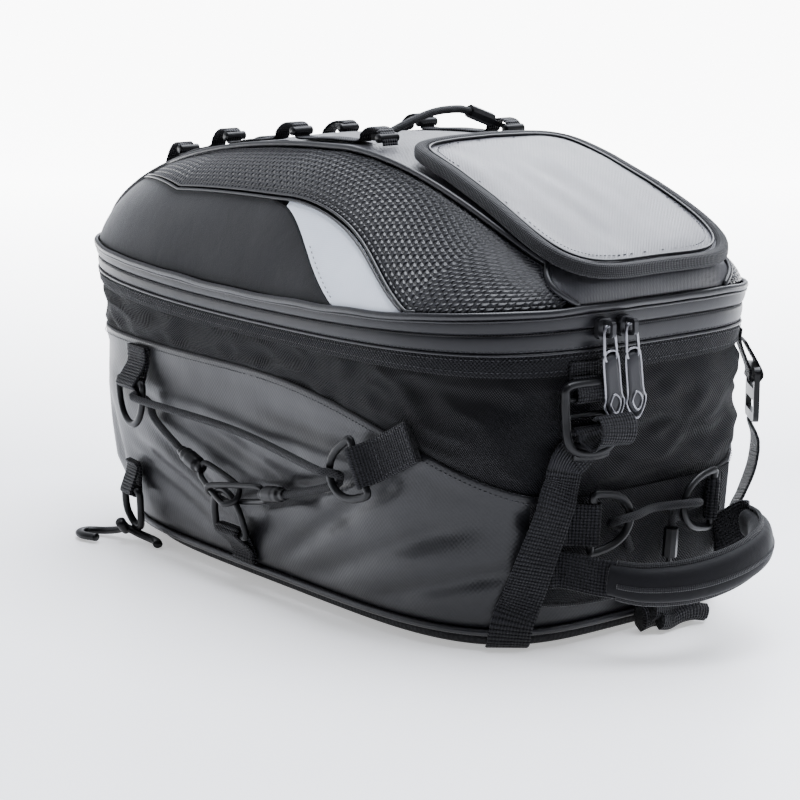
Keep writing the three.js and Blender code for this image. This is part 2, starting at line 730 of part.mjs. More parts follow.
function carbonEdge(th) {
  const x = beadX(th);
  if (x > 0) return 0.56 * Math.max(0, 1 - (x / 156) ** 2.3);
  return 0.56 + 0.25 * clamp01((-x - 130) / 90);
}

const reflectorEdge = (th) => 0.55 * clamp01(1 - (beadX(th) - 8) / 98);

// A thin skin on the lid's side between two edges, for degrees of theta from a to b.
function sidePanel(name, finish, side, stretches, low, high) {
  const columns = stretches.flatMap(([a, b, count], i) => {
    const run = spread(side * a, side * b, count);
    return i ? run.slice(1) : run;
  });
  const stepsUp = 4;
  const points = [];
  for (const lift of [2, 0.9]) {
    for (const th of columns) {
      const from = low(th);
      const to = Math.max(from + 0.02, high(th));
      for (let k = 0; k <= stepsUp; k += 1) points.push(lidPoint(th, mix(from, to, k / stepsUp), lift));
    }
  }
  add(name, finish, facingOut(solidFrom(points, plateTriangles(columns.length, stepsUp + 1))));
}

// Triangles of a plate whose outer and inner faces are two grids of the same size.
function plateTriangles(rows, count) {
  const under = rows * count;
  const triangles = [];
  const at = (j, k) => j * count + k;
  for (let j = 0; j < rows - 1; j += 1) {
    for (let k = 0; k < count - 1; k += 1) {
      const [p, q, r, s] = [at(j, k), at(j + 1, k), at(j + 1, k + 1), at(j, k + 1)];
      addQuad(triangles, p, q, r, s);
      addQuad(triangles, under + p, under + s, under + r, under + q);
    }
  }
  const rim = [];
  for (let j = 0; j < rows; j += 1) rim.push(at(j, 0));
  for (let k = 1; k < count; k += 1) rim.push(at(rows - 1, k));
  for (let j = rows - 2; j >= 0; j -= 1) rim.push(at(j, count - 1));
  for (let k = count - 2; k > 0; k -= 1) rim.push(at(0, k));
  rim.forEach((p, i) => {
    const q = rim[(i + 1) % rim.length];
    addQuad(triangles, q, p, under + p, under + q);
  });
  return triangles;
}

const seamShare = 0.019; // half of the gap between two panels
const firstShare = 0.09; // panels start above the bead

function lidPanels() {
  const above = (edge) => (th) => Math.max(firstShare, edge(th) + seamShare);
  const below = (edge) => (th) => edge(th) - seamShare;
  const matteTop = (th) => Math.min(carbonEdge(th), reflectorEdge(th) + (beadX(th) < 8 ? 1 : 0), ridgeShare(th) - 0.03);
  for (const [label, side] of [['near', -1], ['far', 1]]) {
    sidePanel(`lid_matte_panel_${label}`, 'suede', side, [[160, 88.6, 14], [88.6, 82, 5]], () => firstShare, below(matteTop));
    sidePanel(`lid_reflector_${label}`, 'reflector', side, [[88.6, 64.5, 10]], above(reflectorEdge), below(carbonEdge));
    const carbonTop = (th) => ridgeShare(th) - ridgeGap(th);
    sidePanel(`lid_carbon_panel_${label}`, 'carbon', side, [[140, 24, 22]], above(carbonEdge), carbonTop);
  }
}

function lidTop() {
  const rows = thetas.map((th) => {
    const from = Math.max(firstShare, ridgeShare(th) + ridgeGap(th));
    const ts = [0, 0.4, 0.75, 1].map((s) => mix(from, Math.max(1.12, from + 0.03), s)).concat(1.35, 1.7);
    const pole = (lift) => lidSurface(0, 2).add(new THREE.Vector3(0, 0, lift));
    return [pole(0.9), ...ts.map((t) => lidPoint(th, t, 0.9)).reverse(), ...ts.map((t) => lidPoint(th, t, 2)), pole(2)];
  });
  add('lid_top_panel', 'silver', turned(rows, true));
}

function ridgePiping() {
  for (const [label, side] of [['near', -1], ['far', 1]]) {
    const line = [];
    for (const th of spread(side * 162, side * 14, 30)) {
      line.push(lidPoint(th, Math.max(firstShare, ridgeShare(th)), 4.3));
    }
    add(`ridge_piping_${label}`, 'piping', swept(stationsAlong(line, 0, false), circle(1.9, 6), false));
  }
}

const topZ = (x, y) => {
  const half = mix(ridgeEdge.wf, ridgeEdge.wr, clamp01((x - ridgeEdge.front) / 439) ** taperPower);
  return ridgeZ(x) + crown * Math.max(0, 1 - (y / half) ** 2);
};

const loopPlaces = [-172, -104, -30, 52];
const loopRowY = 53;

// Row of four webbing loops beside each ridge.
function loopRows() {
  for (const [label, side] of [['near', -1], ['far', 1]]) {
    const y = (x) => side * (loopRowY - 22 * clamp01((-x - 60) / 130) ** 1.5);
    const route = [];
    loopPlaces.forEach((x, i) => {
      const arch = [[-13, 0], [-9, 4.5], [-4, 8], [2, 9.2], [8, 8], [11, 4], [12, 0]];
      for (const [dx, rise] of arch) route.push([x + dx, rise]);
      if (i < loopPlaces.length - 1) route.push([(x + loopPlaces[i + 1]) / 2, 0]);
    });
    const points = route.map(([x, rise]) => new THREE.Vector3(x, y(x), topZ(x, y(x)) + 4 + rise));
    const upright = { out: new THREE.Vector3(0, 0, 1) };
    add(`loop_row_${label}`, 'webbing', swept(faced(points, upright), rectangle(12, 1.4), false));
  }
}

// Elastic cord across the lid from the last near loop to a hook at the last far loop.
function topCord() {
  const x = loopPlaces[3];
  const high = (y, lift) => new THREE.Vector3(x + 1, y, topZ(x, y) + lift);
  const line = [high(-57, 8.2), high(-46, 8.6), high(-30, 13), high(-8, 18), high(12, 19), high(22, 17.5)];
  add('top_cord', 'cord', cord(line, cordRadius, 20));
  const end = high(22, 17.5);
  const away = high(22, 17.5).sub(high(12, 19)).normalize();
  const from = end.clone().addScaledVector(away, gap);
  const tip = new THREE.Vector3(x + 1, 41, topZ(x, 41) + 12);
  const wire = [mixPoint(from, tip, 0.8), tip, high(48, 9.5), high(54, 8.2), high(57, 8.4)];
  add('top_cord_hook', 'plastic', joined(cord([from, tip], 4.4, 2, 8), cord(wire, 1.6, 8, 6)));
}

const mixPoint = (a, b, t) => a.clone().lerp(b, t);

// ---- flap on the rear half of the lid -------------------------------------------------------------

const flap = { front: 99, rear: 238, halfFront: 61, halfRear: 73, thick: 6, lift: 7 };

function flapPoint(th, s, off, lift) {
  const plan = {
    front: flap.front - off,
    rear: flap.rear + off,
    wf: flap.halfFront + off,
    wr: flap.halfRear + off,
  };
  const [x, y] = planPoint(th, plan, 9, 4);
  const middle = (flap.front + flap.rear) / 2;
  const px = mix(middle, x, s);
  return new THREE.Vector3(px, y * s, topZ(px, y * s) + lift);
}

function flapPieces() {
  const round = Array.from({ length: 40 }, (_, j) => -Math.PI + (2 * Math.PI * (j + 0.5)) / 40);
  const scales = [1, 0.75, 0.45];
  const upper = flap.lift + flap.thick;
  const rows = round.map((th) => [
    flapPoint(th, 0, 0, flap.lift),
    ...scales.slice().reverse().map((s) => flapPoint(th, s, 0, flap.lift)),
    ...scales.map((s) => flapPoint(th, s, 0, upper)),
    flapPoint(th, 0, 0, upper),
  ]);
  add('flap_panel', 'silver', turned(rows, true));
  const binding = round.map((th) => [
    flapPoint(th, 1, 3.6, flap.lift - 0.3), flapPoint(th, 1, 3.6, upper + 0.3),
    flapPoint(th, 1, gap, upper + 0.3), flapPoint(th, 1, gap, flap.lift - 0.3),
  ]);
  add('flap_binding', 'webbing', turned(binding, false));
}

function strapRoll() {
  const frame = rearFrame(20, 20);
  const base = [[-24, 10, 10], [24, 10, 10]].map(([a, b, n]) => place(frame, a, b - 16, n));
  const stations = stationsAlong(base, 4, false);
  add('mount_strap_roll', 'webbing', swept(stations, circle(1, 10).map(([a, b]) => [a * 8, b * 6]), false));
}

basePad();
basePiping();
lowerShell();
gusset();
lacingHardware(-1, 'near');
lacingHardware(1, 'far');
nearLacing();
rearFace();
handle();
cornerStraps();
strapRoll();
frontHook();
zipBand();
zipPulls();
lidShell();
lidPanels();
lidTop();
ridgePiping();
loopRows();
topCord();
flapPieces();

export default group;
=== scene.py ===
import bpy
import bmesh
import math
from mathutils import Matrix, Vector, noise


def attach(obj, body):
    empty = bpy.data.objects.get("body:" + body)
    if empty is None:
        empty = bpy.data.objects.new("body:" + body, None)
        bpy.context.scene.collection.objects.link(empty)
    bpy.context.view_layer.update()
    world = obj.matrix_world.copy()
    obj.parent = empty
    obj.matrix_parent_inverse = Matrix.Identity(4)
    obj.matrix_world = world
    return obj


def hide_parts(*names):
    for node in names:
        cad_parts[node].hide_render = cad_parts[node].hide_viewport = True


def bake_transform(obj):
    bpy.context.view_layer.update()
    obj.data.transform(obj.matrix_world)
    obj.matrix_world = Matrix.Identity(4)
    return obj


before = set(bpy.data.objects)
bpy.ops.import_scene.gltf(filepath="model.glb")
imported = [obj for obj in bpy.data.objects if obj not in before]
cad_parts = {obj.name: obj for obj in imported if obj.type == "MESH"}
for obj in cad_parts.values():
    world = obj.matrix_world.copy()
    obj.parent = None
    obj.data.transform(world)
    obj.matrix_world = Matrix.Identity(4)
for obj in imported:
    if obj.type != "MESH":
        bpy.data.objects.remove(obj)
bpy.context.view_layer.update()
print("frame loaded")

mm = 0.001  # the maker's numbers below are millimetres
around = 240  # steps in every outline that runs round the bag
up = Vector((0, 0, 1))

# camera at the viewing angle, then a plain white studio
view = {"azimuth": 48.5, "elevation": 10.7, "distance": 1.65, "lens": 115.2, "target": (0.015, -0.002, 0.110)}
cameraData = bpy.data.cameras.new("camera")
cameraData.lens = view["lens"]
cameraData.sensor_width = 36
cameraData.clip_end = 50
camera = bpy.data.objects.new("camera", cameraData)
bpy.context.scene.collection.objects.link(camera)
azimuth, elevation = math.radians(view["azimuth"]), math.radians(view["elevation"])
backward = Vector((math.sin(azimuth) * math.cos(elevation), -math.cos(azimuth) * math.cos(elevation),
                   math.sin(elevation)))
camera.location = Vector(view["target"]) + backward * view["distance"]
camera.rotation_euler = backward.to_track_quat("Z", "Y").to_euler()
bpy.context.scene.camera = camera


# the bag's outer surface, the same curves as the solid model
bodyLevels = [(0, -188, 214, 78, 120), (18, -208, 221, 84, 129), (50, -226, 227, 90, 134),
              (100, -231, 231, 94, 137), (165, -232, 232, 95, 137), (202, -239, 238, 98, 141)]


def mix(a, b, t):
    return a + (b - a) * t


def clamp(v, low=0.0, high=1.0):
    return min(high, max(low, v))


def smooth(v):
    v = clamp(v)
    return v * v * (3 - 2 * v)


def signedPower(v, p):
    return math.copysign(abs(v) ** p, v)


def planPoint(th, edge, nf=4.2, nr=3.8):
    front, rear, wf, wr = edge
    n = nf if math.cos(th) < 0 else nr
    x = (front + rear) / 2 + (rear - front) / 2 * signedPower(math.cos(th), 2 / n)
    u = clamp((x - front) / (rear - front))
    return x, mix(wf, wr, u ** 1.2) * signedPower(math.sin(th), 2 / n)


def levelAt(z, off=0.0):
    i = 0
    while i < len(bodyLevels) - 2 and bodyLevels[i + 1][0] <= z:
        i += 1
    low, high = bodyLevels[i], bodyLevels[i + 1]
    t = max(0.0, (z - low[0]) / (high[0] - low[0]))
    front, rear, wf, wr = (mix(low[k], high[k], t) for k in (1, 2, 3, 4))
    return front - off, rear + off, wf + off, wr + off


def wallPoint(th, z, off=0.0):
    x, y = planPoint(th, levelAt(z, off))
    return Vector((x, y, z))


class Frame:
    def __init__(self, origin, along, up, out):
        self.origin, self.along, self.up, self.out = origin, along, up, out

    def at(self, a, b, n):
        return self.origin + self.along * a + self.up * b + self.out * n

    def turned(self, degrees):
        a = math.radians(degrees)
        along = self.along * math.cos(a) + self.up * math.sin(a)
        return Frame(self.origin, along, self.out.cross(along), self.out)


def wallFrame(th, z, lift=0.0):
    along = (wallPoint(th + 0.01, z) - wallPoint(th - 0.01, z)).normalized()
    rise = (wallPoint(th, z + 3) - wallPoint(th, z - 3)).normalized()
    out = along.cross(rise).normalized()
    return Frame(wallPoint(th, z) + out * lift, along, out.cross(along), out)


def thetaWhere(target, axis, z, low, high):
    floorGlow = wallPoint(high, z)[axis] > wallPoint(low, z)[axis]
    for _ in range(40):
        middle = (low + high) / 2
        if (wallPoint(middle, z)[axis] < target) == floorGlow:
            low = middle
        else:
            high = middle
    return (low + high) / 2


def sideFrame(x, z, side):
    return wallFrame(thetaWhere(x, 0, z, side * 0.02, side * (math.pi - 0.02)), z)


def rearFrame(y, z):
    return wallFrame(thetaWhere(y, 1, z, -math.pi / 2, math.pi / 2), z)


def seamZ(x):
    return 142 - 54 * clamp((x + 20) / 252) ** 2.3


def bandZ(x, share):
    low = 163 + 11 * clamp(-x / 238) ** 2
    high = 201 - 12 * (1 - min(1, (x / 238) ** 2))
    return mix(low, high, share)


def spread(a, b, count):
    fine = [math.radians(mix(a, b, i / 720)) for i in range(721)]
    lengths = [0.0]
    for i in range(1, 721):
        lengths.append(lengths[-1] + (wallPoint(fine[i], 180) - wallPoint(fine[i - 1], 180)).length)
    angles = []
    i = 1
    for j in range(count + 1):
        target = lengths[720] * j / count
        while i < 720 and lengths[i] < target - 1e-9:
            i += 1
        t = (target - lengths[i - 1]) / (lengths[i] - lengths[i - 1])
        angles.append(mix(fine[i - 1], fine[i], t))
    return angles


beadEdge = (-235, 233.5, 94, 137)
ridgeEdge = (-208, 231, 60, 76)


def ridgeZ(x):
    if x > 40:
        return 276 - 68 * (abs(x - 40) / 198) ** 1.75
    return 276 - 50 * ((40 - x) / 280) ** 2.2


def lidSurface(th, t):
    rx, ry = planPoint(th, ridgeEdge, 3, 7)
    if t > 1:
        s = 2 - t
        return Vector((rx * s, ry * s, ridgeZ(rx * s) + 4 * (1 - s * s)))
    bx, by = planPoint(th, beadEdge)
    a = t * math.pi / 2
    across = (t + 1 - math.cos(a)) / 2
    rise = (t + math.sin(a)) / 2
    return Vector((mix(bx, rx, across), mix(by, ry, across), mix(bandZ(bx, 1), ridgeZ(rx), rise)))


def lidPoint(th, t, lift):
    if t > 1.6:
        normal = Vector((0, 0, 1))
    else:
        u = lidSurface(th + 0.02, t) - lidSurface(th - 0.02, t)
        v = lidSurface(th, min(t + 0.02, 2)) - lidSurface(th, max(t - 0.02, 0))
        normal = u.cross(v).normalized()
    return lidSurface(th, t) + normal * lift


def beadX(th):
    return planPoint(th, beadEdge)[0]


def ridgeShare(th):
    a = abs(math.degrees(th))
    if a > 137:
        return clamp((165 - a) / 28)
    if a < 42:
        return clamp((a - 12) / 30) ** 0.6
    return 1.0


def carbonEdge(th):
    x = beadX(th)
    if x > 0:
        return 0.56 * max(0, 1 - (x / 156) ** 2.3)
    return 0.56 + 0.25 * clamp((-x - 130) / 90)


def reflectorEdge(th):
    return 0.555 * clamp(1 - (beadX(th) + 4) / 96)


def topZ(x, y):
    half = mix(60, 76, clamp((x + 208) / 439) ** 1.2)
    return ridgeZ(x) + 4 * max(0, 1 - (y / half) ** 2)


def ripple(point, scale, seed=0.0):
    return noise.noise(Vector((point[0] / scale + seed, point[1] / scale, point[2] / scale)))


# two ways to make a piece: a sheet of cloth laid on a surface, and a section drawn along a line
def finishPiece(name, bm, material, body, replaced=(), thick=0.0, level=0, bevel=0.0):
    mesh = bpy.data.meshes.new(name)
    bm.to_mesh(mesh)
    bm.free()
    mesh.shade_smooth()
    piece = bpy.data.objects.new(name, mesh)
    bpy.context.scene.collection.objects.link(piece)
    piece.data.materials.append(material)
    if thick:
        wall = piece.modifiers.new("wall", "SOLIDIFY")
        wall.thickness = thick * mm
        wall.offset = -1
    if bevel:
        soften = piece.modifiers.new("edge", "BEVEL")
        soften.width = bevel * mm
        soften.segments = 2
        soften.limit_method = "ANGLE"
    if level:
        finer = piece.modifiers.new("finer", "SUBSURF")
        finer.levels = level
        finer.render_levels = level
    if body:
        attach(piece, body)
    if replaced:
        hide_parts(*replaced)
    return piece


def layGrid(columns, rows, place, closed=False, flat=False):
    bm = bmesh.new()
    cloth = bm.loops.layers.uv.new("cloth")
    bmesh.ops.create_grid(bm, x_segments=columns, y_segments=rows, size=0.5)
    points = {}
    for vert in bm.verts:
        i, j = round((vert.co.x + 0.5) * columns), round((vert.co.y + 0.5) * rows)
        points[vert] = (i, j)
    spots = {(i, j): place(i / columns, j / rows) for i in range(columns + 1) for j in range(rows + 1)}
    middle = rows // 2
    run = [0.0]
    for i in range(1, columns + 1):
        run.append(run[-1] + (spots[i, middle] - spots[i - 1, middle]).length)
    rise = {}
    for i in range(columns + 1):
        total = 0.0
        rise[i, 0] = 0.0
        for j in range(1, rows + 1):
            total += (spots[i, j] - spots[i, j - 1]).length
            rise[i, j] = total
    for face in bm.faces:
        for loop in face.loops:
            i, j = points[loop.vert]
            across, down = (spots[i, j].x, spots[i, j].y) if flat else (run[i], rise[i, j])
            loop[cloth].uv = (across * mm, down * mm)
    for vert in bm.verts:
        vert.co = spots[points[vert]] * mm
    if closed:
        bmesh.ops.remove_doubles(bm, verts=bm.verts, dist=0.00002)
    return bm


def catmull(points, count, closed=False):
    points = [Vector(p) for p in points]
    n = len(points)
    fine = []
    spans = n if closed else n - 1
    for i in range(spans):
        a = points[(i - 1) % n] if closed or i > 0 else points[0] * 2 - points[1]
        b, c = points[i % n], points[(i + 1) % n]
        d = points[(i + 2) % n] if closed or i + 2 < n else points[-1] * 2 - points[-2]
        for k in range(16):
            t = k / 16
            fine.append(0.5 * ((2 * b) + (c - a) * t + (2 * a - 5 * b + 4 * c - d) * t ** 2
                               + (3 * b - a - 3 * c + d) * t ** 3))
    fine.append(points[0].copy() if closed else points[-1].copy())
    lengths = [0.0]
    for i in range(1, len(fine)):
        lengths.append(lengths[-1] + (fine[i] - fine[i - 1]).length)
    line = []
    i = 1
    for j in range(count + 1):
        target = lengths[-1] * j / count
        while i < len(fine) - 1 and lengths[i] < target - 1e-9:
            i += 1
        step = lengths[i] - lengths[i - 1]
        line.append(fine[i - 1].lerp(fine[i], (target - lengths[i - 1]) / step if step else 0))
    if closed:
        line[-1] = line[0].copy()
    return line


def drawAlong(line, section, closed=False, sides=None, size=None):
    count = len(line) - 1
    turns = []
    side = None
    for j in range(count + 1):
        if closed:
            before, after = line[(j - 1) % count], line[(j + 1) % count]
        else:
            before, after = line[max(j - 1, 0)], line[min(j + 1, count)]
        along = (after - before).normalized()
        if sides:
            side = sides[j]
        elif side is None:
            side = up.copy() if abs(along.z) < 0.9 else Vector((1, 0, 0))
        side = (side - along * side.dot(along)).normalized()
        turns.append((side, along.cross(side)))
    ring = len(section)

    def place(u, v):
        j, k = round(u * count), round(v * ring) % ring
        a, b = section[k]
        grow = size(u) if size else 1.0
        return line[j] + turns[j][0] * a * grow + turns[j][1] * b * grow

    bm = layGrid(count, ring, place, closed=True)
    if not closed:
        bmesh.ops.holes_fill(bm, edges=[e for e in bm.edges if e.is_boundary], sides=0)
    bmesh.ops.recalc_face_normals(bm, faces=bm.faces)
    return bm


def circle(radius, sides=12):
    return [(radius * math.cos(2 * math.pi * k / sides), radius * math.sin(2 * math.pi * k / sides))
            for k in range(sides)]


def oval(wide, high, sides):
    return [(a * wide, b * high) for a, b in circle(1, sides)]


def ribbon(width, thick, steps=6):
    corner = thick * 0.35
    w, h = width / 2, thick / 2
    top = [(mix(-w + corner, w - corner, k / steps), h) for k in range(steps + 1)]
    under = [(a, -h) for a, _ in reversed(top)]
    return top + [(w, h - corner), (w, corner - h)] + under + [(-w, corner - h), (-w, h - corner)]


# a piece of one section along a line, and a rod that takes its smooth line from a few points
def strip(name, line, section, material, body, nodes=(), closed=False):
    return finishPiece(name, drawAlong(line, section, closed), material, body, nodes)


def rod(name, points, count, section, material, body, nodes=(), closed=False):
    return strip(name, catmull(points, count, closed), section, material, body, nodes, closed)


# materials: one function adds a node, one turns a hex colour to linear
def linear(hexText):
    values = [int(hexText[i:i + 2], 16) / 255 for i in (1, 3, 5)]
    return tuple(v / 12.92 if v <= 0.04045 else ((v + 0.055) / 1.055) ** 2.4 for v in values) + (1.0,)


# a value may be a number, a socket, or a node, which stands for its first output
def addNode(tree, kind, inputs=None, **settings):
    node = tree.nodes.new(kind)
    for key, value in settings.items():
        setattr(node, key, value)
    for key, value in (inputs or {}).items():
        if isinstance(value, bpy.types.Node):
            value = value.outputs[0]
        if isinstance(value, bpy.types.NodeSocket):
            tree.links.new(value, node.inputs[key])
        else:
            node.inputs[key].default_value = value
    return node


def startMaterial(name, roughness, ior=1.45, metallic=0.0, sheen=0.0, coat=0.0):
    material = bpy.data.materials.new(name)
    material.use_nodes = True
    tree = material.node_tree
    tree.nodes.clear()
    shader = addNode(tree, "ShaderNodeBsdfPrincipled", {
        "Roughness": roughness, "Metallic": metallic, "Sheen Weight": sheen, "Sheen Roughness": 0.4,
        "Coat Weight": coat, "Coat Roughness": 0.25})
    if not metallic:
        shader.inputs["IOR"].default_value = ior
    addNode(tree, "ShaderNodeOutputMaterial", {"Surface": shader})
    return material, tree, shader


# surface height of a weave, from the cloth's own lengthwise and crosswise distances
def weaveHeight(tree, pattern, spot, spacing):
    split = addNode(tree, "ShaderNodeSeparateXYZ", {0: spot})
    u, v = split.outputs[0], split.outputs[1]

    def wave(value, width):
        turns = addNode(tree, "ShaderNodeMath", {0: value, 1: 2 * math.pi / (width * mm)}, operation="MULTIPLY")
        return addNode(tree, "ShaderNodeMath", {0: turns}, operation="SINE")

    if pattern == "plain":  # over and under threads
        return addNode(tree, "ShaderNodeMath", {0: wave(u, spacing * 2), 1: wave(v, spacing * 2)},
                       operation="MULTIPLY")
    if pattern == "twill":  # diagonal wales
        diagonal = addNode(tree, "ShaderNodeMath", {0: u, 1: v}, operation="ADD")
        return addNode(tree, "ShaderNodeMath", {0: wave(v, spacing * 0.6), 1: 0.35, 2: wave(diagonal, spacing)},
                       operation="MULTIPLY_ADD")
    if pattern == "rib":  # ribs across the length, with the warp yarns between them
        ribs = addNode(tree, "ShaderNodeMath", {0: wave(u, spacing * 2)}, operation="ABSOLUTE")
        return addNode(tree, "ShaderNodeMath", {0: wave(v, spacing * 0.9), 1: 0.3, 2: ribs},
                       operation="MULTIPLY_ADD")
    if pattern == "braid":
        ways = [addNode(tree, "ShaderNodeMath", {0: u, 1: v}, operation=way) for way in ("ADD", "SUBTRACT")]
        return addNode(tree, "ShaderNodeMath", {k: wave(way, spacing) for k, way in enumerate(ways)},
                       operation="MAXIMUM")
    # basket: flat strands passing over each other in squares
    bulges = [addNode(tree, "ShaderNodeMath", {0: wave(value, spacing * 2)}, operation="ABSOLUTE")
              for value in (u, v)]
    broad, sharp = [[addNode(tree, "ShaderNodeMath", {0: bulge, 1: power}, operation="POWER")
                     for bulge in bulges] for power in (0.5, 1.5)]
    across = addNode(tree, "ShaderNodeMath", {0: broad[0], 1: sharp[1]}, operation="MULTIPLY")
    down = addNode(tree, "ShaderNodeMath", {0: broad[1], 1: sharp[0]}, operation="MULTIPLY")
    squares = addNode(tree, "ShaderNodeTexChecker", {"Vector": spot, "Scale": 1 / (spacing * mm)})
    return addNode(tree, "ShaderNodeMix", {"Factor": squares.outputs["Fac"], "A": across, "B": down},
                   data_type="FLOAT")


def cloth(name, dark, light, pattern, spacing, depth, roughness, bump=0.5, weaveShadeTone=0.18, mottle=0.5,
          fuzz=0.2, crease=0.15, creaseScale=60.0, **base):
    material, tree, shader = startMaterial(name, roughness, **base)
    place = addNode(tree, "ShaderNodeTexCoord").outputs["Object"]
    height = weaveHeight(tree, pattern, addNode(tree, "ShaderNodeUVMap", uv_map="cloth"), spacing)
    broad = addNode(tree, "ShaderNodeTexNoise", {"Vector": place, "Scale": 45.0, "Detail": 5.0})
    fibres = addNode(tree, "ShaderNodeTexNoise", {"Vector": place, "Scale": 1400.0, "Detail": 2.0})
    folds = addNode(tree, "ShaderNodeTexNoise", {"Vector": place, "Scale": creaseScale, "Detail": 4.0,
                                                 "Distortion": 0.6})
    # raised threads are painted lighter and the hollows between them darker: painted highlight and painted
    # shade of the weave
    weaveShade = addNode(tree, "ShaderNodeMath", {0: height, 1: weaveShadeTone}, operation="MULTIPLY")
    tone = addNode(tree, "ShaderNodeMath", {0: broad, 1: mottle, 2: weaveShade}, operation="MULTIPLY_ADD")
    colour = addNode(tree, "ShaderNodeMix", {"Factor": tone, "A": linear(dark), "B": linear(light)},
                     data_type="RGBA").outputs[2]
    rough = addNode(tree, "ShaderNodeMath", {0: broad, 1: 0.16, 2: roughness - 0.08}, operation="MULTIPLY_ADD")
    weave = addNode(tree, "ShaderNodeBump", {"Strength": bump, "Distance": depth * mm, "Height": height})
    grain = addNode(tree, "ShaderNodeBump", {"Strength": fuzz, "Distance": 0.0002, "Height": fibres,
                                             "Normal": weave})
    crumple = addNode(tree, "ShaderNodeBump", {"Strength": crease, "Distance": 0.003, "Height": folds,
                                               "Normal": grain})
    for socket, source in (("Base Color", colour), ("Roughness", rough.outputs[0]),
                           ("Normal", crumple.outputs[0])):
        tree.links.new(source, shader.inputs[socket])
    return material


def hardSurface(name, dark, light, roughness, grain=900.0, bump=0.15, **base):
    material, tree, shader = startMaterial(name, roughness, **base)
    place = addNode(tree, "ShaderNodeTexCoord").outputs["Object"]
    broad = addNode(tree, "ShaderNodeTexNoise", {"Vector": place, "Scale": 70.0, "Detail": 4.0})
    colour = addNode(tree, "ShaderNodeMix", {"Factor": broad, "A": linear(dark), "B": linear(light)},
                     data_type="RGBA").outputs[2]
    rough = addNode(tree, "ShaderNodeMath", {0: broad, 1: 0.18, 2: roughness - 0.08}, operation="MULTIPLY_ADD")
    fine = addNode(tree, "ShaderNodeTexNoise", {"Vector": place, "Scale": grain, "Detail": 3.0})
    skin = addNode(tree, "ShaderNodeBump", {"Strength": bump, "Distance": 0.0002, "Height": fine})
    for socket, source in (("Base Color", colour), ("Roughness", rough.outputs[0]),
                           ("Normal", skin.outputs[0])):
        tree.links.new(source, shader.inputs[socket])
    return material


# spacer mesh of the base: soft open knit with a hole every 3.2 mm, which drinks the light
padMesh, tree, shader = startMaterial("spacerMesh", 0.85)
place = addNode(tree, "ShaderNodeTexCoord").outputs["Object"]
cells = addNode(tree, "ShaderNodeTexVoronoi", {"Vector": place, "Scale": 1 / (3.2 * mm), "Randomness": 0.25})
colour = addNode(tree, "ShaderNodeMix", {"Factor": cells, "A": linear("#26262a"), "B": linear("#070708")},
                 data_type="RGBA").outputs[2]
holes = addNode(tree, "ShaderNodeBump", {"Strength": 0.9, "Distance": 0.0012, "Height": cells})
tree.links.new(colour, shader.inputs["Base Color"])
tree.links.new(holes.outputs[0], shader.inputs["Normal"])

# each cloth below paints its weave with shade in the hollows and a highlight on the raised threads, strongest
# on the webbing, the basket vinyl and the twill
# PU-coated polyester: a smooth satin skin over a faint weave, threads drawn 1.5 mm wide so that they show
coated = cloth("coatedPolyester", "#0e0e10", "#1e1e22", "plain", 1.5, 0.10, 0.36, ior=1.36, bump=0.35,
               weaveShadeTone=0.05, mottle=0.6, crease=0.10, creaseScale=38.0, fuzz=0.06)
# nylon twill: dull, near black, diagonal wales drawn 1.9 mm wide
twill = cloth("nylonTwill", "#040405", "#18181e", "twill", 1.9, 0.5, 0.62, ior=1.2, sheen=0.06, bump=0.9,
              weaveShadeTone=0.40, mottle=0.3, crease=0.10, creaseScale=40.0, fuzz=0.08)
# coarse woven polyester of the strip under the zip: matt, with a thread every 1.2 mm
cuffWeave = cloth("wovenPolyester", "#08080a", "#1d1d21", "plain", 1.2, 0.4, 0.7, ior=1.22, sheen=0.05,
                  bump=0.9, weaveShadeTone=0.35, crease=0.12)
# laminated zip tape: smooth and slightly rubbery, with a soft broad highlight
zipTape = cloth("laminatedTape", "#111114", "#1f1f23", "plain", 0.9, 0.05, 0.38, ior=1.32, bump=0.25,
                weaveShadeTone=0.04, crease=0.06, fuzz=0.05)
# vinyl wrapped round a cord: a narrow satin highlight along its length
pipingVinyl = cloth("pipingVinyl", "#121215", "#26262a", "plain", 1.0, 0.06, 0.34, ior=1.42, bump=0.3,
                    weaveShadeTone=0.05, crease=0.12, fuzz=0.06)
# brushed microfibre: no gloss, a soft pale edge
suede = cloth("brushedMicrofibre", "#0d0d0e", "#1b1b1e", "plain", 0.6, 0.06, 0.95, ior=1.22, sheen=0.28,
              bump=0.3, weaveShadeTone=0.05, mottle=0.6, crease=0.08, fuzz=0.5)
# embossed vinyl with a basket weave of 3.6 mm squares, glossy on each strand; each strand's raised middle is
# painted lighter, a painted highlight, and the dips between strands darker, painted shade
basketVinyl = cloth("basketVinyl", "#050507", "#24242a", "basket", 3.6, 1.3, 0.32, ior=1.34, coat=0.12,
                    bump=1.0, weaveShadeTone=0.62, mottle=0.15, crease=0.04, fuzz=0.03)
# retroreflective film: pale silver, fine bead grain
reflective = cloth("reflectiveFilm", "#d3dbe6", "#f1f6ff", "plain", 0.8, 0.05, 0.36, metallic=0.1, bump=0.3,
                   weaveShadeTone=0.2, mottle=0.7, crease=0.03, fuzz=0.15)
# coated grey twill of the top: catches the light as a silvery sheen
greyTwill = cloth("coatedTwill", "#2b2b2e", "#4b4b50", "twill", 1.2, 0.12, 0.38, ior=1.48, sheen=0.05, bump=0.5,
                  weaveShadeTone=0.16, mottle=0.6, crease=0.14, creaseScale=30.0, fuzz=0.08)
